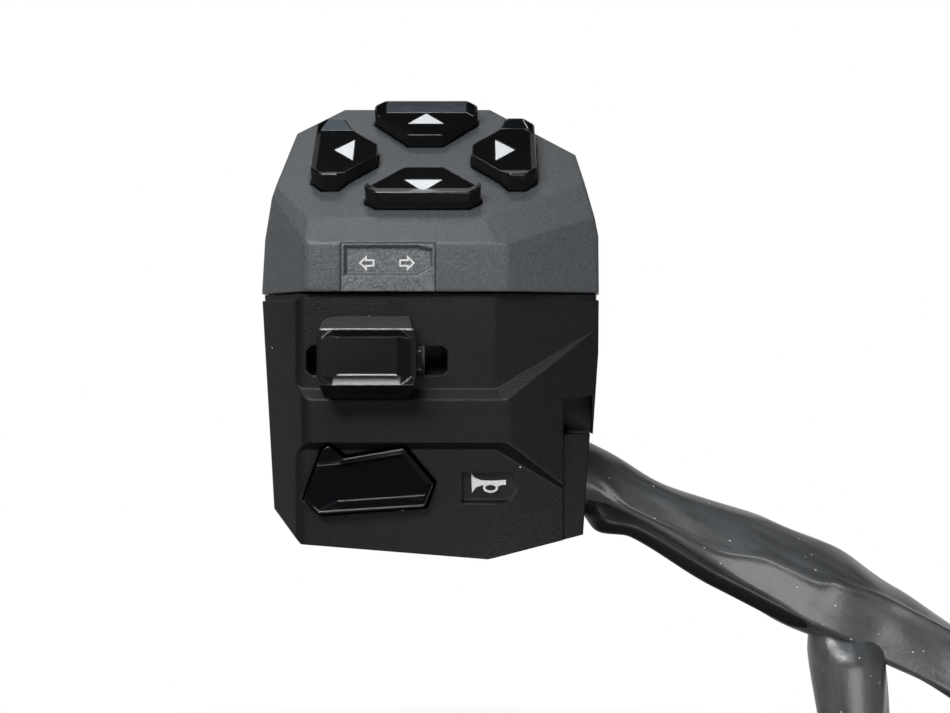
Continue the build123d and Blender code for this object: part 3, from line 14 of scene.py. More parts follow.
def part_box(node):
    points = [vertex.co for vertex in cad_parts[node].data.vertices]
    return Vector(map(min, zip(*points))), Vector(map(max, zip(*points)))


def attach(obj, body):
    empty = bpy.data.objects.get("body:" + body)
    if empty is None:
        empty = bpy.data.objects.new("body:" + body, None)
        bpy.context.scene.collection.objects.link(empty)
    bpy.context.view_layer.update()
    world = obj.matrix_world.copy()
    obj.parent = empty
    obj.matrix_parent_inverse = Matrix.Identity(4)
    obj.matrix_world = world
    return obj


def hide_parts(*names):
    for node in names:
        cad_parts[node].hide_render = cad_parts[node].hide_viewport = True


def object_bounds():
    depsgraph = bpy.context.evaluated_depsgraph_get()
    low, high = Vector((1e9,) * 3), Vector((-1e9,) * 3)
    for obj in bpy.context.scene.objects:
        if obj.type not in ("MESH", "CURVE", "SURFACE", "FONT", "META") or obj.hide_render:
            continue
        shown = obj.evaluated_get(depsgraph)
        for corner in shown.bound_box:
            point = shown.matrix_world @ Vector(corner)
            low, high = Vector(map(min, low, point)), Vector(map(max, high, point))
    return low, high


bl_info = {
    "name": "Handlebar switch cluster",
    "version": (1, 0, 0),
    "blender": (4, 5, 0),
    "location": "View3D > Sidebar > Switch cluster",
    "description": "Dresses the switch cluster: housing, keys, slide, horn, harness and studio",
    "category": "Object",
}

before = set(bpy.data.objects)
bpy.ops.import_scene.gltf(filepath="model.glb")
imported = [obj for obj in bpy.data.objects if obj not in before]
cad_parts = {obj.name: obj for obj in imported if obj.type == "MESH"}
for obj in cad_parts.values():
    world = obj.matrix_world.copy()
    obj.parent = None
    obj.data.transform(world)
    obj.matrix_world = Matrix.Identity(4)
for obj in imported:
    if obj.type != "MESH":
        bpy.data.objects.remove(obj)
cad_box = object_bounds()

FLOOR_GAP = 0.0005
FLOOR_RADIUS = 4.0
FLOOR_SEGMENTS = 96
# The floor is plain within the first of these distances and white to the eye beyond the second
FLOOR_FADE = (0.45, 0.9)
FLAG_REACH = 1.1
FLAG_STEPS = 24
FLOOR_FLAG_RADIUS = 0.4
FLOOR_FLAG_SEGMENTS = 48
SURROUND_STRENGTH = 0.1
LARGEST_POWER = 200.0
WHITE = (1.0, 1.0, 1.0)
SKY = (0.72, 0.86, 1.0)
CAMERA_X = 0.0086
CAMERA_Z = -0.0122
CAMERA_SENSOR = 36.0
CAMERA_LENS = 56.84
INSERT_TONE = 1.3

# Control points of the two cords, the same as those of the solids
MAIN_ROUTE = (
    (0.01052, 0.0, -0.02669), (0.0499, 0.0, -0.04632), (0.12, 0.003, -0.0808),
    (0.146, 0.006, -0.111), (0.156, 0.009, -0.1554), (0.155, 0.011, -0.1924),
    (0.155, 0.011, -0.2274),
)
BRANCH_ROUTE = (
    (0.0848, 0.0008, -0.0637), (0.0877, 0.0012, -0.0864), (0.089, 0.002, -0.1184),
    (0.087, 0.003, -0.1494), (0.087, 0.003, -0.1784),
)
OUTLET_WAY = Vector((0.8949, 0.0, -0.4462))
MAIN_LENGTH = 0.278
BRANCH_LENGTH = 0.115
OUTLET = Vector((0.032, 0.0, -0.0374))
BRANCH_EXIT = Vector((0.0855, 0.0009, -0.068))

# Half width of the main sheath along its length: distance from the start, radius
MAIN_PROFILE = (
    (0.0, 0.007), (0.024, 0.0068), (0.036, 0.0058), (0.062, 0.0089), (0.077, 0.0099),
    (0.092, 0.0083), (0.108, 0.0071), (0.14, 0.0073), (0.2, 0.007), (0.3, 0.0072),
)
# Angles of the raised crease and of the lower fold of the main sheath along its length
MAIN_CREASE = (
    (0.024, 0.3), (0.034, -0.2), (0.051, -0.14), (0.064, 0.22), (0.0735, 0.22), (0.077, 0.38),
    (0.092, 0.66), (0.108, 0.85), (0.16, 0.4), (0.3, 0.6),
)
MAIN_FOLD = (
    (0.024, -0.1), (0.034, -0.42), (0.051, -0.42), (0.064, -0.55), (0.08, -0.65), (0.095, -0.85),
    (0.16, -0.6), (0.3, -0.9),
)
# Radius of the strain relief along its underside, where it cradles the sheath: a lump of real
# boot near the housing, then a long dark sleeve under the sheath that is painted shade of the
# sheath's underside
BOOT_AND_PAINTED_SHADE_PROFILE = (
    (0.0, 0.0066), (0.004, 0.0068), (0.0095, 0.009), (0.0165, 0.007), (0.036, 0.0086),
    (0.053, 0.0088), (0.066, 0.0048),
)
BOOT_CORE = 0.0046
# Where the strain relief turns from its thin core to its full underside, whose long dark sleeve
# is painted shade: shares of a sine
BOOT_EDGE = 0.38
BOOT_EDGE_RUN = 0.3
# How far the boot starts inside the outlet and how far it reaches outside it; the outer reach
# carries the dark sleeve of painted shade along the sheath's underside
BOOT_INSIDE = 0.003
BOOT_AND_SHADE_OUTSIDE = 0.063
BOOT_STEPS = 112
TUBE_SIDES = 112
# Flat stretches of the main sheath: how far they turn and how much of the bulge they take off
UPPER_FLAT_TURN = 1.15
UPPER_FLAT_SHARE = 0.45
FRONT_FLAT_SHARE = 0.8
UNDER_FLAT_TURN = 1.25
UNDER_FLAT_SHARE = 0.6
SLACK_START = 0.022
SLACK_RUN = 0.008
# Ridges and hollows of the sheaths: height and half width in radians
CREASE_FORM = (0.0004, 0.1)
FOLD_FORM = (0.0002, 0.12)
BRANCH_CREASE_FORM = (0.0004, 0.13)
BRANCH_HOLLOW_FORM = (-0.0006, 0.3)
BRANCH_HOLLOW_TURN = 0.5
# The branch's crease winds round it: its angle at a place, and radians for each metre
BRANCH_CREASE_ANGLE = 1.9
BRANCH_CREASE_PLACE = 0.01
BRANCH_CREASE_TWIST = 22.0
# Long waves of the skin: radians for each metre, waves round it and height
MAIN_RIPPLES = ((160.0, 2.0, 0.0001), (410.0, 5.0, 0.00005))
BRANCH_RIPPLES = ((130.0, 2.0, 0.00012),)
PULL_SCALE = (60.0, 22.0, 1.0)

# Ends of the harness: side, wires and radius of the outer ring, the same of the inner one, and
# terminals in a row
ENDS = (("main", 9, 0.0042, 4, 0.0018, 6), ("branch", 6, 0.0028, 1, 0.0, 3))
WIRE_HIDDEN = 0.003
WIRE_STEPS = 24
WIRE_SIDES = 12
TAPE_INSET = 0.00035
TAPE_TURNS_SHARE = 1.4
TAPE_BAND_SHARE = 0.98
TAPE_STEPS = 48
TAPE_LEAN = math.radians(3.0)
CORNER_STEPS = 6
ROD_SIDES = 12
SHARP_TURN = math.radians(35.0)
# Rods on the connectors: numbers of rods, radii and the inset in metres, and all the rest in
# shares of the solid's box
RIBS = {"count": 6, "span": 0.78, "radius": 0.0005, "depth": 0.3, "place": (-0.39, 0.425, -0.41)}
PINS = {
    "rows": 2, "span": 0.62, "row_step": 0.3, "radius": 0.0007, "depth": 0.24,
    "place": (-0.31, -0.15, -0.8),
}
RIDGE_COUNT = 4
RIDGE_RADIUS = 0.00028
RIDGE_STEP_SHARE = 0.065
RIDGE_DEPTH_SHARE = 0.8
RIDGE_PLACE_SHARE = -0.74
RIDGE_INSET = 0.00012
WIRE_COLOURS = (
    (0.015, 0.015, 0.016), (0.3, 0.12, 0.03), (0.05, 0.16, 0.06), (0.35, 0.34, 0.32),
    (0.03, 0.06, 0.22), (0.36, 0.26, 0.04), (0.12, 0.12, 0.125), (0.28, 0.03, 0.03),
)

# Mouldings from the top down, as shares of half the CAD box: height, half x, half y, then the
# corner radius and, where there is one, the shift along Y, both in metres
PLUG_SECTIONS = (
    (0.0, 0.42, 0.56, 0.0024), (-0.03, 0.46, 0.62, 0.0026), (-0.3, 0.47, 0.63, 0.0026),
    (-0.36, 0.6, 0.72, 0.0018), (-0.46, 0.82, 0.8, 0.0015), (-0.5, 0.86, 0.84, 0.0014),
    (-1.12, 0.86, 0.84, 0.0014), (-1.15, 0.96, 0.96, 0.0013), (-1.18, 1.0, 1.0, 0.0013),
    (-1.28, 1.0, 1.0, 0.0013), (-1.31, 0.96, 0.96, 0.0013), (-1.34, 0.91, 0.89, 0.0012),
    (-1.97, 0.91, 0.89, 0.0012), (-2.0, 0.88, 0.85, 0.001), (-2.0, 0.81, 0.74, 0.0008),
    (-1.97, 0.79, 0.71, 0.0007), (-1.4, 0.79, 0.71, 0.0007),
)
LEVER_SECTIONS = (
    (0.0, 0.72, 0.3, 0.00015, 0.0006), (-0.04, 0.8, 0.5, 0.0003, 0.0004),
    (-0.4, 0.74, 0.55, 0.0003, 0.0003), (-1.1, 0.6, 0.55, 0.0003, 0.0002),
    (-1.28, 0.66, 0.6, 0.0003, 0.0002), (-1.36, 0.96, 0.9, 0.0004),
    (-1.42, 1.0, 1.0, 0.0004), (-1.94, 1.0, 1.0, 0.0004),
    (-2.0, 0.9, 0.7, 0.0003, 0.0001),
)

# Half width of the branch sheath along its length: distance from the start, radius
BRANCH_PROFILE = (
    (0.0, 0.006), (0.004, 0.0076), (0.0095, 0.0082), (0.035, 0.0066), (0.12, 0.0066),
)
# How far the start of the branch is pressed flat behind the main sheath, and over what length
BRANCH_TUCK = 0.8
BRANCH_TUCK_REACH = 0.0118

AIM = (0.0, -0.02, -0.005)
LOW_AIM = (0.09, 0.0, -0.09)
# Lamps: name, setting of the power, place, target, width, height, colour, seen in reflections
LAMPS = (
    ("Key softbox", "key_power", (-0.08, -0.27, 0.17), AIM, 0.16, 0.1, WHITE, True),
    ("Overhead strip", "top_power", (-0.05, -0.035, 0.62), AIM, 0.17, 0.14, WHITE, True),
    ("Front top softbox", "sky_power", (0.0, -0.42, 0.62), AIM, 0.3, 0.14, SKY, True),
    ("Left softbox", "left_power", (-0.7, -0.3, 0.1), AIM, 0.7, 0.6, WHITE, False),
    ("Right strip", "right_power", (0.42, -0.46, 0.05), AIM, 0.05, 0.3, WHITE, True),
    ("Low softbox", "fill_power", (0.11, -0.3, -0.2), LOW_AIM, 0.22, 0.14, WHITE, True),
)


# Settings that a user would change

def colour_setting(name, description, default):
    """A colour that the user can change."""
    return bpy.props.FloatVectorProperty(
        name=name, description=description, default=default, size=3, min=0.0, max=1.0,
        subtype="COLOR",
    )


def length_setting(name, description, default, smallest, largest, precision=4):
    """A length that the user can change."""
    return bpy.props.FloatProperty(
        name=name, description=description, default=default, min=smallest, max=largest,
        precision=precision, subtype="DISTANCE", unit="LENGTH",
    )


def power_setting(name, description, default):
    """The power of a lamp, which the user can change."""
    return bpy.props.FloatProperty(
        name=name, description=description, default=default, min=0.0, max=LARGEST_POWER,
        subtype="POWER", unit="POWER",
    )


class FinishSettings(bpy.types.PropertyGroup):
    """Colours and grain of the moulded pieces."""

    upper_colour: colour_setting(
        "Upper shell", "Colour of the upper half of the housing", (0.0385, 0.0415, 0.0445)
    )
    lower_colour: colour_setting(
        "Lower shell", "Colour of the lower half of the housing", (0.0038, 0.0043, 0.0049)
    )
    button_colour: colour_setting(
        "Buttons", "Colour of the glossy buttons, the slide and the horn button",
        (0.0022, 0.0026, 0.003),
    )
    symbol_colour: colour_setting(
        "Symbols", "Colour of the arrow inlays", (0.42, 0.42, 0.42)
    )
    grain_size: length_setting(
        "Grain size", "Width of one grain of the moulded texture", 0.0004, 0.0001, 0.003, 5
    )
    edge_width: length_setting(
        "Edge rounding", "Radius that breaks the moulded edges", 0.0011, 0.00005, 0.003, 5
    )


class HarnessSettings(bpy.types.PropertyGroup):
    """Sizes and colour of the harness."""

    sheath_diameter: length_setting(
        "Main sheath", "Usual diameter of the main sheath", 0.0145, 0.005, 0.03
    )
    branch_diameter: length_setting(
        "Branch sheath", "Usual diameter of the branch sheath", 0.0132, 0.005, 0.03
    )
    sheath_colour: colour_setting(
        "Sheath", "Colour of the vinyl sheath", (0.042, 0.0445, 0.0465)
    )
    wire_diameter: length_setting(
        "Wire", "Diameter of one insulated wire", 0.0019, 0.0008, 0.004
    )
    tape_pitch: length_setting(
        "Tape pitch", "Step of one turn of the wound end tape", 0.0036, 0.001, 0.01
    )


class StudioSettings(bpy.types.PropertyGroup):
    """Camera and lamps of the studio."""

    camera_distance: length_setting(
        "Camera distance", "Distance from the camera to the centre plane of the housing",
        0.311, 0.1, 2.0, 3,
    )
    key_power: power_setting("Key lamp", "Power of the softbox in front, above the camera", 1.65)
    top_power: power_setting("Overhead strip", "Power of the small lamp above the object", 0.85)
    sky_power: power_setting("Front top lamp", "Power of the bluish softbox above the front", 0.5)
    left_power: power_setting("Left lamp", "Power of the softbox on the left", 2.0)
    right_power: power_setting("Right strip", "Power of the narrow lamp on the right", 0.12)
    fill_power: power_setting("Fill lamp", "Power of the low right softbox", 0.62)


# Nodes, and the shader groups that several finishes share

def feed(tree, node, **sources):
    """Set inputs of a node from sockets or plain values; an underscore stands for a space."""
    for key, value in sources.items():
        target = node.inputs[key.replace("_", " ")]
        if isinstance(value, bpy.types.NodeSocket):
            tree.links.new(value, target)
        else:
            target.default_value = value
    return node


def add_node(tree, kind, settings=None, **sources):
    """A new node with its properties set and its inputs fed."""
    node = tree.nodes.new(kind)
    for key, value in (settings or {}).items():
        setattr(node, key, value)
    return feed(tree, node, **sources)


def math_node(tree, operation, first, second=None, clamp=False):
    """A maths node fed by sockets or by plain numbers, and its output."""
    node = add_node(tree, "ShaderNodeMath", {"operation": operation, "use_clamp": clamp})
    for target, value in zip(node.inputs, (first, second)):
        if isinstance(value, bpy.types.NodeSocket):
            tree.links.new(value, target)
        elif value is not None:
            target.default_value = value
    return node.outputs[0]


def times(tree, first, second):
    """The product of two sockets or numbers."""
    return math_node(tree, "MULTIPLY", first, second)


def plus(tree, first, second, clamp=False):
    """The sum of two sockets or numbers."""
    return math_node(tree, "ADD", first, second, clamp)


def new_group(name, inputs, outputs):
    """A shader group, its number inputs (name: default) and its outputs (name: socket type)."""
    tree = bpy.data.node_groups.new(name, "ShaderNodeTree")
    for title, default in inputs.items():
        socket = tree.interface.new_socket(title, in_out="INPUT", socket_type="NodeSocketFloat")
        socket.default_value = default
    for title, kind in outputs.items():
        tree.interface.new_socket(title, in_out="OUTPUT", socket_type=f"NodeSocket{kind}")
    return tree, add_node(tree, "NodeGroupInput").outputs, add_node(tree, "NodeGroupOutput")


def object_place(tree):
    """Object coordinates, which stay with the piece."""
    return add_node(tree, "ShaderNodeTexCoord").outputs["Object"]


def noise(tree, place, scale, detail, roughness):
    """A noise texture at a scale given as a socket or a number, and its value."""
    return add_node(
        tree, "ShaderNodeTexNoise", Vector=place, Scale=scale, Detail=detail, Roughness=roughness
    ).outputs["Fac"]


def grain_group():
    """Spark-eroded mould texture: fine rounded pits and a slight speckle of tone."""
    tree, given, leave = new_group(
        "Moulded grain", {"Grain Size": 0.0003, "Speckle": 0.3},
        {"Height": "Float", "Tone": "Float"},
    )
    place = object_place(tree)
    scale = math_node(tree, "DIVIDE", 1.0, given["Grain Size"])
    fine = noise(tree, place, scale, detail=3.0, roughness=0.65)
    cells = add_node(
        tree, "ShaderNodeTexVoronoi", {"feature": "SMOOTH_F1"}, Vector=place, Scale=scale,
        Smoothness=0.6,
    )
    pits = times(tree, cells.outputs["Distance"], 0.7)
    swing = times(tree, plus(tree, fine, -0.5), 6.0)
    tone = plus(tree, times(tree, swing, given["Speckle"]), 1.0)
    feed(tree, leave, Height=plus(tree, fine, pits), Tone=math_node(tree, "MAXIMUM", tone, 0.3))
    return tree


def edge_group():
    """Broken edges: the normal, rounded at the edges."""
    tree, given, leave = new_group("Broken edges", {"Radius": 0.0003}, {"Normal": "Vector"})
    bevel = add_node(tree, "ShaderNodeBevel", {"samples": 6}, Radius=given["Radius"])
    feed(tree, leave, Normal=bevel.outputs["Normal"])
    return tree


def handling_group():
    """Broad, soft drift of colour and gloss over a surface that is handled and wiped."""
    tree, given, leave = new_group(
        "Handling", {"Patch Size": 0.012, "Strength": 0.2}, {"Tone": "Float", "Gloss": "Float"}
    )
    scale = math_node(tree, "DIVIDE", 1.0, given["Patch Size"])
    broad = noise(tree, object_place(tree), scale, detail=3.0, roughness=0.55)
    drift = times(tree, plus(tree, broad, -0.5), given["Strength"])
    feed(tree, leave, Tone=plus(tree, drift, 1.0), Gloss=drift)
    return tree


def dust_group():
    """Sparse pale specks of dust."""
    tree, given, leave = new_group(
        "Dust specks", {"Spacing": 0.0016, "Amount": 0.5}, {"Mask": "Float"}
    )
    place = object_place(tree)
    scale = math_node(tree, "DIVIDE", 1.0, given["Spacing"])
    cells = add_node(tree, "ShaderNodeTexVoronoi", Vector=place, Scale=scale).outputs
    near = math_node(tree, "LESS_THAN", cells["Distance"], 0.09)
    patches = noise(tree, place, 90.0, detail=2.0, roughness=0.5)
    threshold = math_node(tree, "SUBTRACT", 1.0, given["Amount"])
    chosen = math_node(tree, "GREATER_THAN", patches, threshold)
    parts = add_node(tree, "ShaderNodeSeparateColor", Color=cells["Color"])
    odd = math_node(tree, "GREATER_THAN", parts.outputs["Red"], 0.55)
    feed(tree, leave, Mask=times(tree, times(tree, near, chosen), odd))
    return tree


GROUP_MAKERS = {
    "grain": grain_group, "edges": edge_group, "handling": handling_group, "dust": dust_group,
}
GROUPS = {}


def use_group(tree, name, **values):
    """One shared group in a material, with its own values; it is built at its first use."""
    if name not in GROUPS:
        GROUPS[name] = GROUP_MAKERS[name]()
    return add_node(tree, "ShaderNodeGroup", {"node_tree": GROUPS[name]}, **values)


def tinted(tree, colour, factor, other=None):
    """A colour scaled by a factor socket, or mixed by it towards another colour."""
    mix = add_node(tree, "ShaderNodeMix", {"data_type": "RGBA"})
    if not isinstance(colour, bpy.types.NodeSocket):
        colour = (*colour, 1.0)
    if other is None:
        mix.blend_type = "MULTIPLY"
        feed(tree, mix, Factor=1.0, A=colour, B=factor)
    else:
        feed(tree, mix, Factor=factor, A=colour, B=(*other, 1.0))
    return mix.outputs["Result"]


def new_material(name):
    """A material with its tree and its surface shader."""
    material = bpy.data.materials.new(name)
    material.use_nodes = True
    return material, material.node_tree, material.node_tree.nodes["Principled BSDF"]


def add_bump(tree, surface, height, depth, **sources):
    """Feed a height of this depth into the surface's normal."""
    bump = add_node(tree, "ShaderNodeBump", Height=height, Distance=depth, **sources)
    feed(tree, surface, Normal=bump.outputs["Normal"])


def moulded(
    name, colour, roughness, specular=0.35, grain=0.0005, grain_depth=0.00001, speckle=0.1,
    edge=0.0003, drift=0.25, dust=0.0, metallic=0.0, coat=0.0, subsurface=0.0,
):
    """A moulded or cast finish: grain, broken edges, handling and dust on one surface shader."""
    material, tree, surface = new_material(name)
    material.diffuse_color = (*colour, 1.0)
    pits = use_group(tree, "grain", Grain_Size=grain, Speckle=speckle).outputs
    handling = use_group(tree, "handling", Strength=drift).outputs
    edges = use_group(tree, "edges", Radius=edge).outputs
    shade = tinted(tree, colour, times(tree, pits["Tone"], handling["Tone"]))
    if dust:
        specks = use_group(tree, "dust", Amount=dust).outputs
        shade = tinted(tree, shade, specks["Mask"], (0.5, 0.5, 0.5))
    rough = plus(tree, times(tree, handling["Gloss"], 0.6), roughness, True)
    feed(
        tree, surface, Base_Color=shade, Roughness=rough, Specular_IOR_Level=specular,
        Metallic=metallic, Coat_Weight=coat, Subsurface_Weight=subsurface,
    )
    add_bump(tree, surface, pits["Height"], grain_depth, Normal=edges["Normal"])
    return material


# Pieces and the trees that make them

def dress(material, *names):
    """Give these carried-over solids a finish."""
    for name in names:
        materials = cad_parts[name].data.materials
        materials.clear()
        materials.append(material)


def place_piece(obj, slot, *nodes):
    """Put a finished piece on the housing and let it stand for solids; the slot is not used."""
    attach(obj, "housing")
    if nodes:
        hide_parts(*nodes)


def new_object(name, data):
    """A new object of the scene that shows this mesh, curve, lamp or camera."""
    obj = bpy.data.objects.new(name, data)
    bpy.context.scene.collection.objects.link(obj)
    return obj


def form_object(name, form, finish):
    """A new piece from a form that has been built up, with its finish."""
    mesh = bpy.data.meshes.new(name)
    form.to_mesh(mesh)
    form.free()
    mesh.materials.append(finish)
    return new_object(name, mesh)


def box_of(node):
    """Low corner, size and middle of the top of a solid's box."""
    low, high = (Vector(corner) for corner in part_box(node))
    return low, high - low, Vector(((low.x + high.x) / 2, (low.y + high.y) / 2, high.z))


SOCKETS = {int: "NodeSocketInt", float: "NodeSocketFloat", tuple: "NodeSocketVector"}


def new_tree(name, inputs):
    """An empty Geometry Nodes tree with named inputs (name: default)."""
    tree = bpy.data.node_groups.new(name, "GeometryNodeTree")
    for title, default in inputs.items():
        kind = SOCKETS[type(default)]
        socket = tree.interface.new_socket(title, in_out="INPUT", socket_type=kind)
        socket.default_value = default
    tree.interface.new_socket("Geometry", in_out="OUTPUT", socket_type="NodeSocketGeometry")
    return tree, add_node(tree, "NodeGroupInput").outputs


def geometry_node(tree, kind, settings=None, **sources):
    """A Geometry Nodes node with its properties and inputs set, and its first output."""
    return add_node(tree, f"GeometryNode{kind}", settings, **sources).outputs[0]


def close_tree(tree, geometry, finish, place):
    """Move the result to its place, make it plain mesh and give it its finish."""
    moved = geometry_node(tree, "Transform", Geometry=geometry, Translation=place)
    plain = geometry_node(tree, "RealizeInstances", Geometry=moved)
    dressed = geometry_node(tree, "SetMaterial", Geometry=plain, Material=finish)
    tree.links.new(dressed, add_node(tree, "NodeGroupOutput").inputs[0])


def grown(name, tree, values):
    """A piece made by a Geometry Nodes tree with these input values, as a plain mesh."""
    piece = new_object(name, bpy.data.meshes.new(name))
    maker = piece.modifiers.new("Maker", "NODES")
    maker.node_group = tree
    for item in tree.interface.items_tree:
        if item.in_out == "INPUT" and item.name in values:
            maker[item.identifier] = values[item.name]
    settle(piece)
    return piece


def settle(obj):
    """Turn a piece and its modifiers into a plain mesh."""
    bpy.context.view_layer.update()
    graph = bpy.context.evaluated_depsgraph_get()
    mesh = bpy.data.meshes.new_from_object(obj.evaluated_get(graph), depsgraph=graph)
    mesh.name = obj.name
    obj.modifiers.clear()
    obj.data = mesh


# Finishes of the carried-over solids

def metal(name, colour, roughness, **details):
    """A finely finished metal."""
    return moulded(name, colour, roughness, grain=0.0002, metallic=1.0, **details)


def glossy(name, colour, **details):
    """A polished black moulding."""
    return moulded(
        name, colour, 0.1, specular=0.4, grain=0.002, grain_depth=0.000004, speckle=0.05,
        drift=0.12, **details,
    )


class CLUSTER_OT_housing(bpy.types.Operator):
    """Finish the two halves of the housing, the insert and their fasteners"""

    bl_idname = "cluster.housing"
    bl_label = "Housing"

    def execute(self, context):
        """Build the finishes and put them on."""
        look = context.scene.cluster_finish
        upper = moulded(
            "Grained shell, upper", look.upper_colour, 0.4, specular=0.3, grain=look.grain_size,
            grain_depth=0.00004, speckle=0.3, edge=look.edge_width, drift=0.1,
        )
        lower = moulded(
            "Grained shell, lower", look.lower_colour, 0.4, specular=0.18, grain=look.grain_size,
            grain_depth=0.00004, speckle=0.35, edge=look.edge_width / 2, drift=0.15, dust=0.35,
        )
        insert = moulded(
            "Grained insert", [INSERT_TONE * part for part in look.upper_colour], 0.42,
            specular=0.4, grain=look.grain_size * 1.2, grain_depth=0.00007, speckle=0.5,
            edge=0.0004,
        )
        printed = moulded(
            "Pale print", (0.33, 0.33, 0.33), 0.5, specular=0.3, grain=0.0004, speckle=0.15,
            edge=0.00008, drift=0.15,
        )
        steel = metal(
            "Zinc plated steel", (0.5, 0.5, 0.48), 0.32, grain_depth=0.000008, speckle=0.08,
            edge=0.0002,
        )
        brass = metal("Brass", (0.6, 0.43, 0.17), 0.3, grain_depth=0.000008, edge=0.0002)
        dress(upper, "upper_case")
        dress(lower, "lower_case")
        dress(insert, "turn_icon_insert")
        dress(printed, "turn_icon_arrows", "horn_icon")
        dress(steel, "case_screws", "board_screws", "turn_base_screws", "horn_bracket_screw")
        dress(steel, "horn_pin")
        dress(brass, "case_inserts", "turn_contacts", "turn_bridge", "horn_contact", "horn_rivet")
        return {"FINISHED"}


class CLUSTER_OT_keys(bpy.types.Operator):
    """Finish the four buttons, their arrows and the keypad behind them"""

    bl_idname = "cluster.keys"
    bl_label = "Keys"

    def execute(self, context):
        """Build the finishes and put them on."""
        look = context.scene.cluster_finish
        key = glossy("Glossy black key", look.button_colour, edge=0.0004, dust=0.25)
        inlay = moulded(
            "Arrow inlay", look.symbol_colour, 0.4, specular=0.3, grain_depth=0.000004,
            speckle=0.06, edge=0.0001, subsurface=0.1,
        )
        silicone = moulded("Silicone", (0.3, 0.3, 0.3), 0.6, grain=0.0004, subsurface=0.3)
        board = moulded(
            "Circuit board", (0.02, 0.11, 0.045), 0.35, grain=0.0006, speckle=0.25, edge=0.0001,
            coat=0.3,
        )
        for side in ("up", "down", "left", "right"):
            dress(key, f"{side}_button")
            dress(inlay, f"{side}_arrow")
            dress(silicone, f"{side}_dome")
        dress(silicone, "keypad_mat")
        dress(board, "keypad_board")
        return {"FINISHED"}


class CLUSTER_OT_switches(bpy.types.Operator):
    """Finish the turn slide, the horn button and what carries them inside"""

    bl_idname = "cluster.switches"
    bl_label = "Slide and horn"

    def execute(self, context):
        """Build the finishes and put them on."""
        look = context.scene.cluster_finish
        satin = moulded(
            "Satin black slide", look.button_colour, 0.22, specular=0.9, grain=0.0006,
            grain_depth=0.000006, speckle=0.08, edge=0.0005, drift=0.12,
        )
        horn = glossy("Glossy black horn", look.button_colour, edge=0.0005)
        nylon = moulded("Natural nylon", (0.1, 0.098, 0.09), 0.45, subsurface=0.2)
        bracket = moulded("Black nylon", (0.012, 0.012, 0.013), 0.45, speckle=0.2)
        spring = metal(
            "Spring steel", (0.36, 0.36, 0.36), 0.28, grain_depth=0.000005, speckle=0.12,
            edge=0.0001,
        )
        dress(satin, "turn_knob")
        dress(horn, "horn_button")
        dress(nylon, "turn_carriage", "cancel_plunger")
        dress(bracket, "turn_base", "horn_bracket", "board_header", "harness_tie")
        dress(spring, "turn_spring", "cancel_spring", "horn_spring")
        return {"FINISHED"}


# Harness

def route_line(points):
    """Points along the smooth line of a cord whose control points are given."""
    curve = bpy.data.curves.new("Route", "CURVE")
    curve.dimensions = "3D"
    spline = curve.splines.new("NURBS")
    spline.points.add(len(points) - 1)
    for point, place in zip(spline.points, points):
        point.co = (*place, 1.0)
    spline.order_u = 3
    spline.use_endpoint_u = True
    spline.resolution_u = 60
    obj = new_object("Route", curve)
    bpy.context.view_layer.update()
    mesh = bpy.data.meshes.new_from_object(obj)
    line = [vertex.co.copy() for vertex in mesh.vertices]
    bpy.data.objects.remove(obj)
    bpy.data.curves.remove(curve)
    bpy.data.meshes.remove(mesh)
    return line


def smooth_step(value):
    """A soft ramp from 0 to 1."""
    value = min(max(value, 0.0), 1.0)
    return value * value * (3.0 - 2.0 * value)


def profile_at(profile, place):
    """Value of a profile at a place, eased between its entries."""
    for (start, low), (end, high) in zip(profile, profile[1:]):
        if place <= end:
            return low + (high - low) * smooth_step((place - start) / (end - start))
    return profile[-1][1]


def tube(name, line, radius_at, finish):
    """Closed tube along a line; radius_at(place, angle) gives its radius.

    The angle is 0 towards the front and a quarter turn towards the upper side.
    """
    form = bmesh.new()
    texture = form.loops.layers.uv.new("Along")
    front = Vector((0.0, -1.0, 0.0))
    rings = []
    places = [0.0]
    for before, after in zip(line, line[1:]):
        places.append(places[-1] + (after - before).length)
    for index, centre in enumerate(line):
        ahead = line[min(index + 1, len(line) - 1)] - line[max(index - 1, 0)]
        upward = front.cross(ahead).normalized()
        outward = ahead.cross(upward).normalized()
        ring = []
        for side in range(TUBE_SIDES):
            angle = math.tau * side / TUBE_SIDES
            offset = outward * math.cos(angle) + upward * math.sin(angle)
            ring.append(form.verts.new(centre + offset * radius_at(places[index], angle)))
        rings.append(ring)
    for index, (ring, after) in enumerate(zip(rings, rings[1:])):
        for side in range(TUBE_SIDES):
            beyond = (side + 1) % TUBE_SIDES
            face = form.faces.new((ring[side], ring[beyond], after[beyond], after[side]))
            face.smooth = True
            corners = ((index, side), (index, side + 1), (index + 1, side + 1), (index + 1, side))
            for loop, (along, around) in zip(face.loops, corners):
                loop[texture].uv = (places[along], around / TUBE_SIDES)
    form.faces.new(list(reversed(rings[0])))
    form.faces.new(rings[-1])
    bmesh.ops.recalc_face_normals(form, faces=form.faces)
    return form_object(name, form, finish)


def wrapped(angle):
    """An angle brought between minus and plus half a turn."""
    return (angle + math.pi) % math.tau - math.pi


def flattened(angle, low, high, share):
    """Share of the radius taken off where the sheath lies flat between two angles."""
    half = (high - low) / 2
    turn = angle - (high + low) / 2
    if abs(turn) >= half:
        return 0.0
    return share * (1.0 - math.cos(half) / math.cos(turn))


def swell_at(turn, form):
    """Height of a soft ridge or hollow at this angle from its middle."""
    height, width = form
    return height * math.exp(-((turn / width) ** 2))


def ripple_at(place, angle, ripples):
    """Height of the long waves of the skin."""
    return sum(math.sin(place * along + around * angle) * high for along, around, high in ripples)


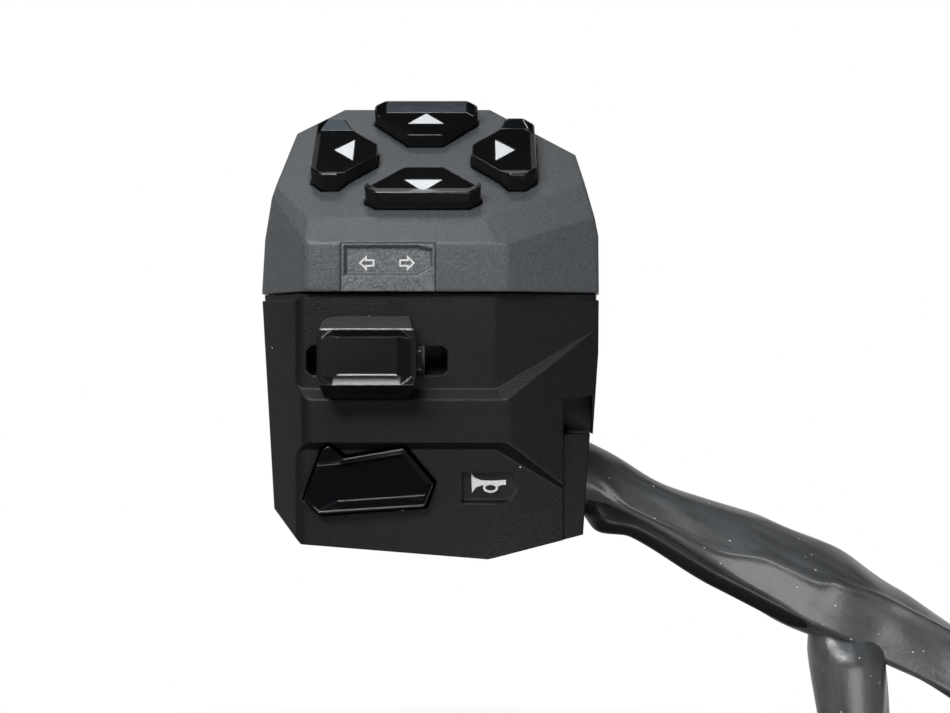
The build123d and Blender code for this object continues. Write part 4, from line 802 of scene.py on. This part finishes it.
def main_radius(place, angle):
    """Radius of the slack main sheath: a raised crease along its front between flat sides."""
    radius = profile_at(MAIN_PROFILE, place)
    angle = wrapped(angle)
    crease = profile_at(MAIN_CREASE, place)
    fold = profile_at(MAIN_FOLD, place)
    flats = (
        flattened(angle, crease, crease + UPPER_FLAT_TURN, UPPER_FLAT_SHARE)
        + flattened(angle, fold, crease, FRONT_FLAT_SHARE)
        + flattened(angle, fold - UNDER_FLAT_TURN, fold, UNDER_FLAT_SHARE)
    )
    slack = smooth_step((place - SLACK_START) / SLACK_RUN)
    skin = swell_at(angle - crease, CREASE_FORM) + swell_at(angle - fold, FOLD_FORM)
    return radius * (1.0 - slack * flats) + slack * (skin + ripple_at(place, angle, MAIN_RIPPLES))


def branch_radius(place, angle):
    """Radius of the branch sheath, with a crease that winds round it and a hollow beside it."""
    radius = profile_at(BRANCH_PROFILE, place)
    tuck = BRANCH_TUCK * (1.0 - smooth_step(place / BRANCH_TUCK_REACH))
    radius *= 1.0 - tuck * math.cos(angle) ** 2
    angle = wrapped(angle)
    crease = BRANCH_CREASE_ANGLE - BRANCH_CREASE_TWIST * (place - BRANCH_CREASE_PLACE)
    turn = wrapped(angle - crease)
    radius += swell_at(turn, BRANCH_CREASE_FORM)
    radius += swell_at(turn + BRANCH_HOLLOW_TURN, BRANCH_HOLLOW_FORM)
    return radius + ripple_at(place, angle, BRANCH_RIPPLES)


def boot_and_painted_shade_radius(place, angle):
    """Radius of the strain relief: a thin core under the sheath and a full underside; beyond the
    real boot, this dark underside is painted shade of the sheath.
    """
    under = smooth_step((-math.sin(angle) - BOOT_EDGE) / BOOT_EDGE_RUN)
    full = profile_at(BOOT_AND_PAINTED_SHADE_PROFILE, place)
    core = min(BOOT_CORE, full)
    return core + (full - core) * under


def sheath_finish(colour):
    """Slack vinyl: semi-gloss, with fine pull marks along it, scuffs and dust."""
    material, tree, surface = new_material("Vinyl sheath")
    unwrap = add_node(tree, "ShaderNodeUVMap", {"uv_map": "Along"}).outputs["UV"]
    stretch = add_node(tree, "ShaderNodeMapping", Vector=unwrap, Scale=PULL_SCALE)
    pull = noise(tree, stretch.outputs["Vector"], 1.0, detail=4.0, roughness=0.6)
    skin = noise(tree, object_place(tree), 900.0, detail=3.0, roughness=0.6)
    handling = use_group(tree, "handling", Patch_Size=0.02, Strength=0.5)
    specks = use_group(tree, "dust", Spacing=0.0019, Amount=0.52)
    uneven = plus(tree, pull, -0.5)
    tone = times(tree, plus(tree, times(tree, uneven, 1.5), 1.0), handling.outputs["Tone"])
    shade = tinted(tree, colour, tone)
    shade = tinted(tree, shade, specks.outputs["Mask"], (0.38, 0.38, 0.37))
    rough = plus(tree, times(tree, uneven, 0.25), 0.33)
    feed(tree, surface, Base_Color=shade, Roughness=rough, Specular_IOR_Level=0.5)
    add_bump(tree, surface, plus(tree, times(tree, pull, 0.7), skin), 0.00006)
    return material


def wire_finish():
    """Glossy vinyl insulation, each wire in its own colour."""
    material, tree, surface = new_material("Wire insulation")
    mark = add_node(tree, "ShaderNodeAttribute", {"attribute_name": "Wire"})
    ramp = add_node(tree, "ShaderNodeValToRGB", Fac=mark.outputs["Fac"])
    ramp.color_ramp.interpolation = "CONSTANT"
    for index, colour in enumerate(WIRE_COLOURS):
        position = index / len(WIRE_COLOURS)
        stops = ramp.color_ramp.elements
        stop = stops[index] if index < 2 else stops.new(position)
        stop.position = position
        stop.color = (*colour, 1.0)
    handling = use_group(tree, "handling", Patch_Size=0.004, Strength=0.25).outputs
    shade = tinted(tree, ramp.outputs["Color"], handling["Tone"])
    rough = plus(tree, times(tree, handling["Gloss"], 0.6), 0.32)
    feed(tree, surface, Base_Color=shade, Roughness=rough)
    return material


def tape_tree(finish):
    """Tape wound in overlapping turns: a leaning flat band along a spiral."""
    tree, given = new_tree("Wound tape", {
        "Radius": 0.007, "Height": 0.013, "Turns": 4.0, "Band": 0.004, "Thickness": 0.0003,
        "Place": (0.0, 0.0, 0.0),
    })
    spiral = geometry_node(
        tree, "CurveSpiral", Resolution=TAPE_STEPS, Rotations=given["Turns"],
        Start_Radius=given["Radius"], End_Radius=given["Radius"], Height=given["Height"],
    )
    upright = geometry_node(tree, "SetCurveNormal", {"mode": "Z_UP"}, Curve=spiral)
    section = geometry_node(
        tree, "CurvePrimitiveQuadrilateral", {"mode": "RECTANGLE"}, Width=given["Thickness"],
        Height=given["Band"],
    )
    leaning = geometry_node(tree, "Transform", Geometry=section, Rotation=(0.0, 0.0, TAPE_LEAN))
    band = geometry_node(
        tree, "CurveToMesh", Curve=upright, Profile_Curve=leaning, Fill_Caps=True
    )
    close_tree(tree, band, finish, given["Place"])
    return tree


def wire_tree(finish):
    """Insulated wires side by side on two rings, fanned out and twisted a little."""
    tree, given = new_tree("Bundle of wires", {
        "Outer Count": 9, "Outer Ring": 0.004, "Inner Count": 4, "Inner Ring": 0.0016,
        "Length": 0.024, "Wire": 0.00095, "Bulge": 0.16, "Twist": 0.5, "Place": (0.0, 0.0, 0.0),
    })
    rings = add_node(tree, "GeometryNodeJoinGeometry")
    for ring in ("Outer", "Inner"):
        circle = geometry_node(
            tree, "MeshCircle", Vertices=given[f"{ring} Count"], Radius=given[f"{ring} Ring"]
        )
        tree.links.new(circle, rings.inputs[0])
    drop = times(tree, given["Length"], -1.0)
    end = add_node(tree, "ShaderNodeCombineXYZ", Z=drop).outputs[0]
    straight = geometry_node(tree, "CurvePrimitiveLine", End=end)
    stepped = geometry_node(tree, "ResampleCurve", Curve=straight, Count=WIRE_STEPS)
    copies = geometry_node(tree, "InstanceOnPoints", Points=rings.outputs[0], Instance=stepped)
    order = add_node(tree, "GeometryNodeInputIndex").outputs[0]
    total = plus(tree, given["Outer Count"], given["Inner Count"])
    marked = geometry_node(
        tree, "StoreNamedAttribute", {"data_type": "FLOAT", "domain": "INSTANCE"},
        Geometry=copies, Name="Wire", Value=math_node(tree, "DIVIDE", order, total),
    )
    loose = geometry_node(tree, "RealizeInstances", Geometry=marked)
    position = add_node(tree, "GeometryNodeInputPosition").outputs[0]
    parts = add_node(tree, "ShaderNodeSeparateXYZ", Vector=position).outputs
    fallen = math_node(tree, "DIVIDE", parts["Z"], drop)
    swell = math_node(tree, "SINE", times(tree, fallen, math.pi))
    spread = plus(tree, times(tree, swell, given["Bulge"]), 1.0)
    fanned = add_node(
        tree, "ShaderNodeCombineXYZ", X=times(tree, parts["X"], spread),
        Y=times(tree, parts["Y"], spread), Z=parts["Z"],
    ).outputs[0]
    turned = add_node(
        tree, "ShaderNodeVectorRotate", {"rotation_type": "Z_AXIS"}, Vector=fanned,
        Angle=times(tree, fallen, given["Twist"]),
    ).outputs[0]
    laid = geometry_node(tree, "SetPosition", Geometry=loose, Position=turned)
    section = geometry_node(
        tree, "CurvePrimitiveCircle", {"mode": "RADIUS"}, Resolution=WIRE_SIDES,
        Radius=given["Wire"],
    )
    solid = geometry_node(tree, "CurveToMesh", Curve=laid, Profile_Curve=section, Fill_Caps=True)
    close_tree(tree, solid, finish, given["Place"])
    return tree


def rod_tree(name, finish):
    """Short rods in rows, for grip ribs and terminals."""
    tree, given = new_tree(name, {
        "Count": 5, "Step": (0.004, 0.0, 0.0), "Rows": 1, "Row Step": (0.0, 0.004, 0.0),
        "Radius": 0.0005, "Depth": 0.008, "Turn": (0.0, 0.0, 0.0), "Place": (0.0, 0.0, 0.0),
    })
    line = geometry_node(
        tree, "MeshLine", {"mode": "OFFSET"}, Count=given["Count"], Offset=given["Step"]
    )
    column = geometry_node(
        tree, "MeshLine", {"mode": "OFFSET"}, Count=given["Rows"], Offset=given["Row Step"]
    )
    rod = geometry_node(
        tree, "MeshCylinder", Vertices=ROD_SIDES, Radius=given["Radius"], Depth=given["Depth"]
    )
    placed = geometry_node(tree, "InstanceOnPoints", Points=line, Instance=rod)
    rows = geometry_node(tree, "InstanceOnPoints", Points=column, Instance=placed)
    turned = geometry_node(tree, "Transform", Geometry=rows, Rotation=given["Turn"])
    close_tree(tree, turned, finish, given["Place"])
    return tree


def stack(name, sections, centre, scale, finish):
    """Closed moulding through rounded rectangles, listed from the top down."""
    form = bmesh.new()
    rings = []
    for height, half_x, half_y, corner, *shift in sections:
        ring = []
        for quarter, (side_x, side_y) in enumerate(((1, 1), (-1, 1), (-1, -1), (1, -1))):
            for step in range(CORNER_STEPS + 1):
                angle = (quarter + step / CORNER_STEPS) * math.pi / 2
                across = side_x * (half_x * scale.x - corner) + corner * math.cos(angle)
                deep = side_y * (half_y * scale.y - corner) + corner * math.sin(angle)
                place = centre + Vector((across, deep + sum(shift), height * scale.z))
                ring.append(form.verts.new(place))
        rings.append(ring)
    for ring, after in zip(rings, rings[1:]):
        for index in range(len(ring)):
            beyond = (index + 1) % len(ring)
            form.faces.new((ring[index], ring[beyond], after[beyond], after[index]))
    form.faces.new(rings[0])
    form.faces.new(rings[-1])
    bmesh.ops.recalc_face_normals(form, faces=form.faces)
    moulding = form_object(name, form, finish)
    moulding.data.shade_smooth()
    moulding.data.set_sharp_from_angle(angle=SHARP_TURN)
    return moulding


def rods(name, tree, slot, top, size, count, span, radius, depth, place, rows=1, row_step=0.0):
    """Rods in rows on a connector, laid out in shares of its box from the middle of its top."""
    piece = grown(name, tree, {
        "Count": count, "Step": (size.x * span / (count - 1), 0.0, 0.0), "Rows": rows,
        "Row Step": (0.0, size.y * row_step, 0.0), "Radius": radius, "Depth": size.z * depth,
        "Place": tuple(start + reach * share for start, reach, share in zip(top, size, place)),
    })
    place_piece(piece, slot)
    return piece


def connector(side, plug, trees, row):
    """One connector: moulded body with its mouth, grip ribs, terminals and latch lever."""
    _, size, top = box_of(f"{side}_connector")
    body = stack(f"{side}_plug", PLUG_SECTIONS, top, size / 2, plug)
    place_piece(body, "connector", f"{side}_connector")
    ribs = rods(f"{side}_plug_ribs", trees["ribs"], "connector", top, size, **RIBS)
    pins = rods(f"{side}_terminals", trees["pins"], "brass", top, size, count=row, **PINS)
    low, size, top = box_of(f"{side}_latch")
    lever = stack(f"{side}_lever", LEVER_SECTIONS, top, size / 2, plug)
    place_piece(lever, "connector", f"{side}_latch")
    ridges = grown(f"{side}_lever_ridges", trees["ribs"], {
        "Count": RIDGE_COUNT, "Step": (size.z * RIDGE_STEP_SHARE, 0.0, 0.0),
        "Radius": RIDGE_RADIUS, "Depth": size.x * RIDGE_DEPTH_SHARE,
        "Turn": (0.0, math.pi / 2, 0.0),
        "Place": (top.x, low.y + RIDGE_INSET, top.z + size.z * RIDGE_PLACE_SHARE),
    })
    place_piece(ridges, "connector")
    return [piece.name for piece in (body, ribs, pins, lever, ridges)]


def harness_ends(sizes):
    """Boot with its dark sleeve of painted shade, end tapes, wires and connectors, and the names
    of the pieces on each cord.
    """
    # Dark rubber of the boot, which also paints the shade under the main sheath along its sleeve
    rubber = moulded("Boot rubber", (0.008, 0.0088, 0.0092), 0.42, grain=0.0009, speckle=0.08)
    tape = moulded(
        "Wiring tape", (0.016, 0.016, 0.017), 0.34, grain=0.0007, speckle=0.15, edge=0.0002
    )
    plug = moulded(
        "Connector nylon", (0.026, 0.027, 0.029), 0.42, grain=0.0006, speckle=0.15
    )
    terminal = moulded(
        "Tinned terminal", (0.62, 0.6, 0.55), 0.3, grain=0.0004, grain_depth=0.000004,
        speckle=0.08, edge=0.0001, metallic=1.0,
    )
    start = OUTLET - OUTLET_WAY * BOOT_INSIDE
    reach = BOOT_INSIDE + BOOT_AND_SHADE_OUTSIDE
    line = [start + OUTLET_WAY * (reach * step / BOOT_STEPS) for step in range(BOOT_STEPS + 1)]
    # The boot runs on past its real lump as a dark sleeve of painted shade under the main sheath
    place_piece(tube("harness_boot", line, boot_and_painted_shade_radius, rubber), "grommet")
    winding = tape_tree(tape)
    bundle = wire_tree(wire_finish())
    trees = {"ribs": rod_tree("Row of ribs", plug), "pins": rod_tree("Terminals", terminal)}
    names = {}
    for side, outer, outer_ring, inner, inner_ring, row in ENDS:
        low, size, top = box_of(f"{side}_tape")
        height = top.z - low.z
        band = height / math.ceil(height / sizes.tape_pitch)
        wound = grown(f"{side}_winding", winding, {
            "Radius": size.x / 2 - TAPE_INSET, "Height": height - band,
            "Turns": (height - band) / sizes.tape_pitch * TAPE_TURNS_SHARE,
            "Band": band * TAPE_BAND_SHARE, "Place": (top.x, top.y, low.z + band / 2),
        })
        place_piece(wound, "tape", f"{side}_tape")
        low, _, top = box_of(f"{side}_wires")
        wires = grown(f"{side}_loom", bundle, {
            "Outer Count": outer, "Outer Ring": outer_ring,
            "Inner Count": inner, "Inner Ring": inner_ring,
            "Length": top.z - low.z + 2 * WIRE_HIDDEN, "Wire": sizes.wire_diameter / 2,
            "Place": (top.x, top.y, top.z + WIRE_HIDDEN),
        })
        place_piece(wires, "wire", f"{side}_wires")
        names[side] = [wound.name, wires.name, *connector(side, plug, trees, row)]
    return names


class CLUSTER_OT_harness(bpy.types.Operator):
    """Make both sheaths, their boot with its sleeve of painted shade, tapes, wires and
    connectors; finish the grommet and loom
    """

    bl_idname = "cluster.harness"
    bl_label = "Harness"

    def execute(self, context):
        sizes = context.scene.cluster_harness
        vinyl = sheath_finish(sizes.sheath_colour)
        ends = harness_ends(sizes)
        cords = (
            ("main", MAIN_ROUTE, main_radius, OUTLET, MAIN_LENGTH, sizes.sheath_diameter),
            (
                "branch", BRANCH_ROUTE, branch_radius, BRANCH_EXIT, BRANCH_LENGTH,
                sizes.branch_diameter,
            ),
        )
        for side, route, radius_at, leaving, length, diameter in cords:
            line = route_line(route)
            sheath = tube(f"{side}_sheath", line, radius_at, vinyl)
            place_piece(sheath, "sheath", f"harness_{side}")
        rubber = moulded(
            "Grommet rubber", (0.012, 0.012, 0.012), 0.55, grain=0.0004, grain_depth=0.00002,
            speckle=0.2, edge=0.0004,
        )
        dress(rubber, "harness_grommet")
        dress(moulded("Inner loom vinyl", (0.02, 0.02, 0.021), 0.4, grain=0.0008), "inner_loom")
        return {"FINISHED"}


# Studio

def softbox(name, place, target, width, height, power, colour, seen):
    """A rectangular lamp that faces a target."""
    lamp = bpy.data.lights.new(name, "AREA")
    lamp.color = colour
    lamp.shape = "RECTANGLE"
    lamp.size = width
    lamp.size_y = height
    lamp.energy = power
    obj = new_object(name, lamp)
    obj.location = place
    obj.rotation_euler = (Vector(target) - Vector(place)).to_track_quat("-Z", "Y").to_euler()
    obj.visible_glossy = seen
    obj.visible_camera = False


def white_for_eye(tree, plain, output, keep=None):
    """Show white to the camera and in reflections, and the plain surface to all other light."""
    rays = add_node(tree, "ShaderNodeLightPath").outputs
    seen = math_node(tree, "MAXIMUM", rays["Is Camera Ray"], rays["Is Glossy Ray"])
    seen = math_node(tree, "MAXIMUM", seen, rays["Is Transmission Ray"])
    if keep is not None:
        seen = times(tree, seen, keep)
    kind = "Background" if output.type == "OUTPUT_WORLD" else "Emission"
    white = add_node(tree, f"ShaderNode{kind}", Color=(*WHITE, 1.0), Strength=1.0)
    mix = add_node(tree, "ShaderNodeMixShader", Fac=seen)
    tree.links.new(plain, mix.inputs[1])
    tree.links.new(white.outputs[0], mix.inputs[2])
    feed(tree, output, Surface=mix.outputs[0])


def disc(name, radius, segments, height, finish):
    """A flat round card at this height."""
    form = bmesh.new()
    bmesh.ops.create_circle(form, cap_ends=True, segments=segments, radius=radius)
    card = form_object(name, form, finish)
    card.data.transform(Matrix.Translation((0.0, 0.0, height)))
    return card


def hang_flag(card):
    """Hide a card of the studio from all but reflections."""
    card.visible_camera = False
    card.visible_diffuse = False
    card.visible_shadow = False


def black_flag(name, azimuths, elevations, finish):
    """A curved black card round the object, seen only in its reflections."""
    form = bmesh.new()
    rows = []
    for row in range(FLAG_STEPS + 1):
        lift = math.radians(elevations[0] + (elevations[1] - elevations[0]) * row / FLAG_STEPS)
        line = []
        for column in range(FLAG_STEPS + 1):
            turn = math.radians(azimuths[0] + (azimuths[1] - azimuths[0]) * column / FLAG_STEPS)
            across = math.cos(lift) * math.sin(turn)
            deep = -math.cos(lift) * math.cos(turn)
            line.append(form.verts.new(FLAG_REACH * Vector((across, deep, math.sin(lift)))))
        rows.append(line)
    for row, above in zip(rows, rows[1:]):
        for column in range(FLAG_STEPS):
            form.faces.new((row[column], row[column + 1], above[column + 1], above[column]))
    hang_flag(form_object(name, form, finish))


def floor_finish():
    """A pale floor that turns white to the eye away from the object."""
    material, tree, surface = new_material("Pale floor")
    feed(tree, surface, Base_Color=(0.82, 0.82, 0.82, 1.0), Roughness=0.7)
    reach = add_node(tree, "ShaderNodeVectorMath", {"operation": "LENGTH"})
    tree.links.new(object_place(tree), reach.inputs[0])
    keep = add_node(
        tree, "ShaderNodeMapRange", {"clamp": True}, Value=reach.outputs["Value"],
        From_Min=FLOOR_FADE[0], From_Max=FLOOR_FADE[1],
    )
    output = tree.nodes["Material Output"]
    white_for_eye(tree, surface.outputs[0], output, keep.outputs["Result"])
    return material


class CLUSTER_OT_stage(bpy.types.Operator):
    """Set up the pale floor, the softboxes and the camera"""

    bl_idname = "cluster.stage"
    bl_label = "Studio"

    def execute(self, context):
        """Build the studio."""
        studio = context.scene.cluster_studio
        scene = context.scene
        scene.view_settings.view_transform = "Standard"

        world = bpy.data.worlds.new("Studio surround")
        scene.world = world
        world.use_nodes = True
        tree = world.node_tree
        plain = tree.nodes["Background"]
        feed(tree, plain, Color=(0.9, 0.92, 0.95, 1.0), Strength=SURROUND_STRENGTH)
        white_for_eye(tree, plain.outputs[0], tree.nodes["World Output"])

        ground = cad_box[0].z
        disc(
            "studio_floor", FLOOR_RADIUS, FLOOR_SEGMENTS, ground - FLOOR_GAP, floor_finish()
        )
        cloth, tree, surface = new_material("Black flag cloth")
        feed(
            tree, surface, Base_Color=(0.01, 0.01, 0.01, 1.0), Roughness=1.0,
            Specular_IOR_Level=0.0,
        )
        black_flag("front_flag", (-120.0, 120.0), (-80.0, 88.0), cloth)
        hang_flag(disc(
            "floor_flag", FLOOR_FLAG_RADIUS, FLOOR_FLAG_SEGMENTS, ground - FLOOR_GAP / 2, cloth
        ))
        black_flag("top_flag", (-180.0, 180.0), (62.0, 90.0), cloth)

        for name, power, place, target, width, height, colour, seen in LAMPS:
            softbox(name, place, target, width, height, getattr(studio, power), colour, seen)

        camera = bpy.data.cameras.new("Camera")
        camera.sensor_width = CAMERA_SENSOR
        camera.lens = CAMERA_LENS
        camera.clip_start = 0.01
        camera.clip_end = 20.0
        eye = new_object("Camera", camera)
        eye.location = (CAMERA_X, -studio.camera_distance, CAMERA_Z)
        eye.rotation_euler = (math.radians(90.0), 0.0, 0.0)
        scene.camera = eye
        return {"FINISHED"}


class CLUSTER_PT_sidebar(bpy.types.Panel):
    """Sidebar panel with the sizes, the colours and one button for each group of pieces"""

    bl_idname = "CLUSTER_PT_sidebar"
    bl_label = "Switch cluster"
    bl_space_type = "VIEW_3D"
    bl_region_type = "UI"
    bl_category = "Switch cluster"

    def draw(self, context):
        """List the settings and the steps."""
        scene = context.scene
        for group in (scene.cluster_finish, scene.cluster_harness, scene.cluster_studio):
            box = self.layout.box()
            for name in group.bl_rna.properties.keys():
                if name not in {"rna_type", "name"}:
                    box.prop(group, name)
        for step in STEPS:
            self.layout.operator(step.bl_idname)


STEPS = (
    CLUSTER_OT_housing, CLUSTER_OT_keys, CLUSTER_OT_switches, CLUSTER_OT_harness,
    CLUSTER_OT_stage,
)
CLASSES = (FinishSettings, HarnessSettings, StudioSettings, *STEPS, CLUSTER_PT_sidebar)


def register():
    """Register the classes and hang their settings on the scene."""
    for cls in CLASSES:
        bpy.utils.register_class(cls)
    bpy.types.Scene.cluster_finish = bpy.props.PointerProperty(type=FinishSettings)
    bpy.types.Scene.cluster_harness = bpy.props.PointerProperty(type=HarnessSettings)
    bpy.types.Scene.cluster_studio = bpy.props.PointerProperty(type=StudioSettings)


def unregister():
    """Take the settings and the classes away again."""
    del bpy.types.Scene.cluster_studio
    del bpy.types.Scene.cluster_harness
    del bpy.types.Scene.cluster_finish
    for cls in reversed(CLASSES):
        bpy.utils.unregister_class(cls)


def main():
    """Make every piece in order."""
    register()
    bpy.ops.cluster.housing()
    bpy.ops.cluster.keys()
    bpy.ops.cluster.switches()
    bpy.ops.cluster.harness()
    bpy.ops.cluster.stage()
    bpy.context.view_layer.update()


if __name__ == "__main__":
    main()
